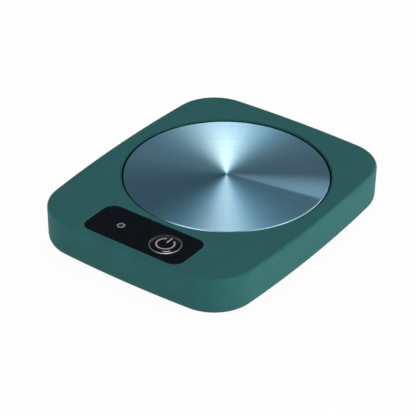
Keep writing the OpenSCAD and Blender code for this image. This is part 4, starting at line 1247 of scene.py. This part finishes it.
def foot_pad(u):
    """A rubber foot with a shallow cup in its lower face."""
    r, cup, high = u.foot / 2, 0.35 * MM, FEET.high.z
    profile = eased([
        (0, cup), (r - 2.0 * MM, cup, 0.5 * MM), (r - 1.6 * MM, 0, 0.3 * MM),
        (r - 0.5 * MM, 0, 0.5 * MM), (r, 0.5 * MM, 0.4 * MM), (r, high, 0.1 * MM), (0, high),
    ], 0, 4)
    return smooth(lathe("foot", profile, (0, 0), 64), 50)


class MUGWARMER_OT_underside(Operator):
    """Make the bottom cover with its vents, feet and screws"""

    bl_idname = "mug_warmer.underside"
    bl_label = "Underside"

    def execute(self, context):
        s = context.scene.mug_warmer
        u, outline = s.underside, BowedOutline(s.casing)
        screws_in = post_inset(s)
        screws_at = outline.corners(screws_in)
        feet_at = outline.corners(screws_in + u.head / 2 + u.foot / 2 + 2 * MM)
        plastic = bpy.data.materials["casing_plastic"]
        cover = self.cover(s, outline, screws_at, feet_at)
        cover.data.materials.append(plastic)
        vents_tree().grow(cover, {
            "Length": u.slot_length, "Width": u.slot_width, "Pitch": u.slot_pitch,
            "Count": u.slots, "Middle": (0.0, s.plate.centre, s.casing.base - PAST),
            "Depth": 4 * MM, "Material": plastic})
        step = cover.modifiers.new("edges", "BEVEL")
        step.width, step.segments, step.limit_method = 0.12 * MM, 2, "ANGLE"
        step.angle_limit = math.radians(50)
        dress(smooth(settle(cover)), plastic, "casing", "body", "bottom_cover")

        copies = copies_tree()
        rubber = soft_rubber("foot_rubber", u.rubber)
        feet = place_copies(copies, "anti_slip_feet", foot_pad(u), feet_at, 0.0, rubber)
        dress(feet, rubber, "foot_rubber", "body", "rubber_feet")
        zinc = sheet_metal("zinc_plate", u.zinc, 0.28, 0.5)
        screw = cross_screw("screw", u.screw, u.screw_length, u.head, 1.5 * MM)
        places = [(x, y, turn + 0.7 * n) for n, (x, y, turn) in enumerate(screws_at)]
        screws = place_copies(
            copies, "cover_screws", screw, places, s.casing.base + u.sheet, zinc)
        dress(screws, zinc, "screw_steel", "body", "casing_screws")
        return {"FINISHED"}

    def cover(self, s, outline, screws_at, feet_at):
        """The cover with its posts, bores and seats, still without its vents."""
        u, inset, top = s.underside, s.casing.wall + s.underside.seam, COVER.high.z
        low, high = s.casing.base, s.casing.base + u.sheet
        loops = [outline.loop(inset + u.edge * rise, low + u.edge * run)
                 for run, rise in rounding(4)]
        loops += [outline.loop(inset, high - 0.1 * MM), outline.loop(inset + 0.1 * MM, high)]
        cover = skin("base_cover", loops)
        for x, y, _ in screws_at:
            join(cover, rod("post", (x, y), 4.2 * MM, low + 0.9 * MM, top))
            cut(cover, rod("counterbore", (x, y), u.head / 2 + 0.2 * MM, low - PAST, high, 64),
                rod("bore", (x, y), u.screw / 2 + 0.2 * MM, low, top + PAST, 32))
        for x, y, _ in feet_at:
            seat = low + 0.8 * MM
            cut(cover, rod("foot_seat", (x, y), u.foot / 2 + 0.1 * MM, low - PAST, seat, 64))
        for x in (-u.inlet_post, u.inlet_post):
            bored_post(cover, (x, INLET_SCREWS.y), 2.1 * MM, (high - 0.5 * MM, high + 1.2 * MM),
                       0.9 * MM, (INLET_SCREWS.low.z - 0.15 * MM, high + 2 * MM))
        plain = rounded_rectangle(u.recess_width, u.recess_depth, 2 * MM, 0, 8)
        middle = 0, PANEL.y + u.recess_back
        cut(cover, prism("bare_recess", plain, low - PAST, low + 0.3 * MM, middle))
        return cover


# ---------------------------------------------------------------- inside


class MUGWARMER_OT_inside(Operator):
    """Give every solid that is still shown its own finish"""

    bl_idname = "mug_warmer.inside"
    bl_label = "Inner Pieces"

    def execute(self, context):
        finishes = inner_finishes()
        finishes["screw_steel"] = bpy.data.materials["zinc_plate"]
        slot_of = {p["node"]: p["material_slot"] for p in frame["record"]["subparts"]}
        for name, node in frame["nodes"].items():
            if node.hide_render:
                continue
            slot = slot_of[name]
            if slot not in finishes:
                raise RuntimeError(f"{name} has no finish for its slot {slot}")
            node.data.materials.clear()
            node.data.materials.append(finishes[slot])
        return {"FINISHED"}


# ---------------------------------------------------------------- stage


def soft_box(name, place, width, height, brightness, tint, mirrored=False):
    """An area light that faces the object. Only a mirrored one shows in reflections."""
    lamp = bpy.data.lights.new(name, "AREA")
    lamp.color = tint
    lamp.shape, lamp.size, lamp.size_y = "RECTANGLE", width, height
    lamp.energy = brightness * math.pi * width * height
    piece = link(name, lamp)
    piece.location = place
    piece.rotation_euler = (-Vector(place)).to_track_quat("-Z", "Y").to_euler()
    piece.visible_camera = False
    piece.visible_glossy = mirrored


class MUGWARMER_OT_stage(Operator):
    """Set the floor, the light and the camera"""

    bl_idname = "mug_warmer.stage"
    bl_label = "Stage"

    def execute(self, context):
        s = context.scene.mug_warmer
        st = s.stage
        self.floor()
        self.sky(st)
        soft_box("key_light", (1.18, 0.24, 0.27), 0.9, 0.5, 16.8 * st.key, (1.0, 0.875, 0.78))
        soft_box("front_light", (-0.35, -1.15, 0.50), 0.9, 0.6, 6.6 * st.fill, (1.0, 0.91, 0.83))
        soft_box("far_light", (-0.30, 0.42, 1.10), 0.25, 0.25, 22.0 * st.top, (1.0, 0.96, 1.0),
                 True)
        self.camera(s, st)
        context.scene.view_settings.view_transform = "Standard"
        return {"FINISHED"}

    def floor(self):
        """A pale floor that is white to the camera but for the object's soft shadow."""
        half = 4.0
        corners = [(-half, -half, 0), (half, -half, 0), (half, half, 0), (-half, half, 0)]
        floor = solid("floor", corners, [(0, 1, 2, 3)])
        material = bpy.data.materials.new("pale_floor")
        material.use_nodes = True
        g = Graph(material.node_tree)
        g.tree.nodes.clear()
        ray = g.node("ShaderNodeLightPath").outputs
        seen = Value(g, ray["Is Camera Ray"]).at_least(ray["Is Glossy Ray"]).at_least(
            ray["Is Transmission Ray"])
        matt = g.out("ShaderNodeBsdfDiffuse", None, {"Color": (0.82, 0.82, 0.82)})
        white = g.out("ShaderNodeEmission", None, {"Color": (1.0, 1.0, 1.0), "Strength": 1.0})
        shown = g.out("ShaderNodeMixShader", None, {0: 0.955 * seen, 1: matt, 2: white})
        clear = g.out("ShaderNodeBsdfTransparent")
        under = g.out("ShaderNodeNewGeometry", socket="Backfacing")
        both = g.out("ShaderNodeMixShader", None, {0: under, 1: shown, 2: clear})
        g.node("ShaderNodeOutputMaterial", None, {0: both})
        floor.data.materials.append(material)

    def sky(self, st):
        """Even light; white to the camera, and in reflections near the horizon."""
        world = bpy.data.worlds.new("studio")
        bpy.context.scene.world = world
        world.use_nodes = True
        g = Graph(world.node_tree)
        g.tree.nodes.clear()
        way = g.out("ShaderNodeTexCoord", socket="Generated")
        height = g.value("ShaderNodeSeparateXYZ", None, {0: way}, "Z")
        ray = g.node("ShaderNodeLightPath").outputs
        camera = Value(g, ray["Is Camera Ray"])
        glossy = Value(g, ray["Is Glossy Ray"]).at_least(ray["Is Transmission Ray"])
        shine = 0.108 + 0.892 * height.magnitude().step(0.42, 0.04)
        edge, core = math.cos(math.radians(22)), math.cos(math.radians(12))
        # soft bright patches of sky, to be seen in polished edges
        for strength, direction in (
            (1.6, (0.64, 0.02, 0.76)), (1.6, (0.66, 0.40, 0.62)),
            (1.8, (0.40, 0.84, 0.36)), (2.6, (-0.12, -0.60, 0.79)),
        ):
            near = g.value("ShaderNodeVectorMath", {"operation": "DOT_PRODUCT"}, {
                0: way, 1: Vector(direction).normalized()}, "Value")
            shine = shine + strength * near.step(edge, core)
        strength = camera + (1 - camera) * (glossy * shine + (1 - glossy) * st.sky)
        tint = g.mix((1 - camera) * (1 - glossy), (1.0, 1.0, 1.0), (0.80, 0.98, 1.10))
        back = g.out("ShaderNodeBackground", None, {"Color": tint, "Strength": strength})
        g.node("ShaderNodeOutputWorld", None, {0: back})

    def camera(self, s, st):
        data = bpy.data.cameras.new("camera")
        data.sensor_width = 36.0
        data.lens = data.sensor_width * st.focal
        data.clip_start, data.clip_end = 0.01, 50.0
        piece = link("camera", data)
        a, e = st.azimuth, st.elevation
        back = Vector((math.sin(a) * math.cos(e), -math.cos(a) * math.cos(e), math.sin(e)))
        right = Vector((math.cos(a), math.sin(a), 0.0))
        up = back.cross(right)
        middle = Vector((0.0, 0.0, s.casing.base))
        piece.location = middle + right * st.shift_right + up * st.shift_up + back * st.distance
        c, k = math.cos(st.roll), math.sin(st.roll)
        axes = Matrix((right * c + up * k, up * c - right * k, back)).transposed()
        piece.rotation_mode = "QUATERNION"
        piece.rotation_quaternion = axes.to_quaternion()
        bpy.context.scene.camera = piece


# ---------------------------------------------------------------- sidebar


class MUGWARMER_PT_sidebar(Panel):
    """Lists the pieces and their settings"""

    bl_label = "Mug Warmer"
    bl_idname = "MUGWARMER_PT_sidebar"
    bl_space_type = "VIEW_3D"
    bl_region_type = "UI"
    bl_category = "Mug Warmer"

    def draw(self, context):
        s = context.scene.mug_warmer
        for group, steps in (
            (s.casing, ("casing",)), (s.plate, ("plate",)), (s.controls, ("controls",)),
            (s.underside, ("underside", "inside")), (s.stage, ("stage",)),
        ):
            box = self.layout.box()
            for step in steps:
                box.operator(f"mug_warmer.{step}")
            for name in group.__annotations__:
                box.prop(group, name)


CLASSES = (
    CasingSettings, PlateSettings, ControlSettings, UndersideSettings, StageSettings,
    WarmerSettings, MUGWARMER_OT_casing, MUGWARMER_OT_plate, MUGWARMER_OT_controls,
    MUGWARMER_OT_underside, MUGWARMER_OT_inside, MUGWARMER_OT_stage, MUGWARMER_PT_sidebar,
)


def register():
    for cls in CLASSES:
        bpy.utils.register_class(cls)
    bpy.types.Scene.mug_warmer = PointerProperty(type=WarmerSettings)


def unregister():
    del bpy.types.Scene.mug_warmer
    for cls in reversed(CLASSES):
        bpy.utils.unregister_class(cls)


def main():
    """Runs every operator in order."""
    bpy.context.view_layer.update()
    register()
    ops = bpy.ops.mug_warmer
    for step in (ops.stage, ops.casing, ops.plate, ops.controls, ops.underside, ops.inside):
        if step() != {"FINISHED"}:
            raise RuntimeError("an operator did not finish")


if __name__ == "__main__":
    main()
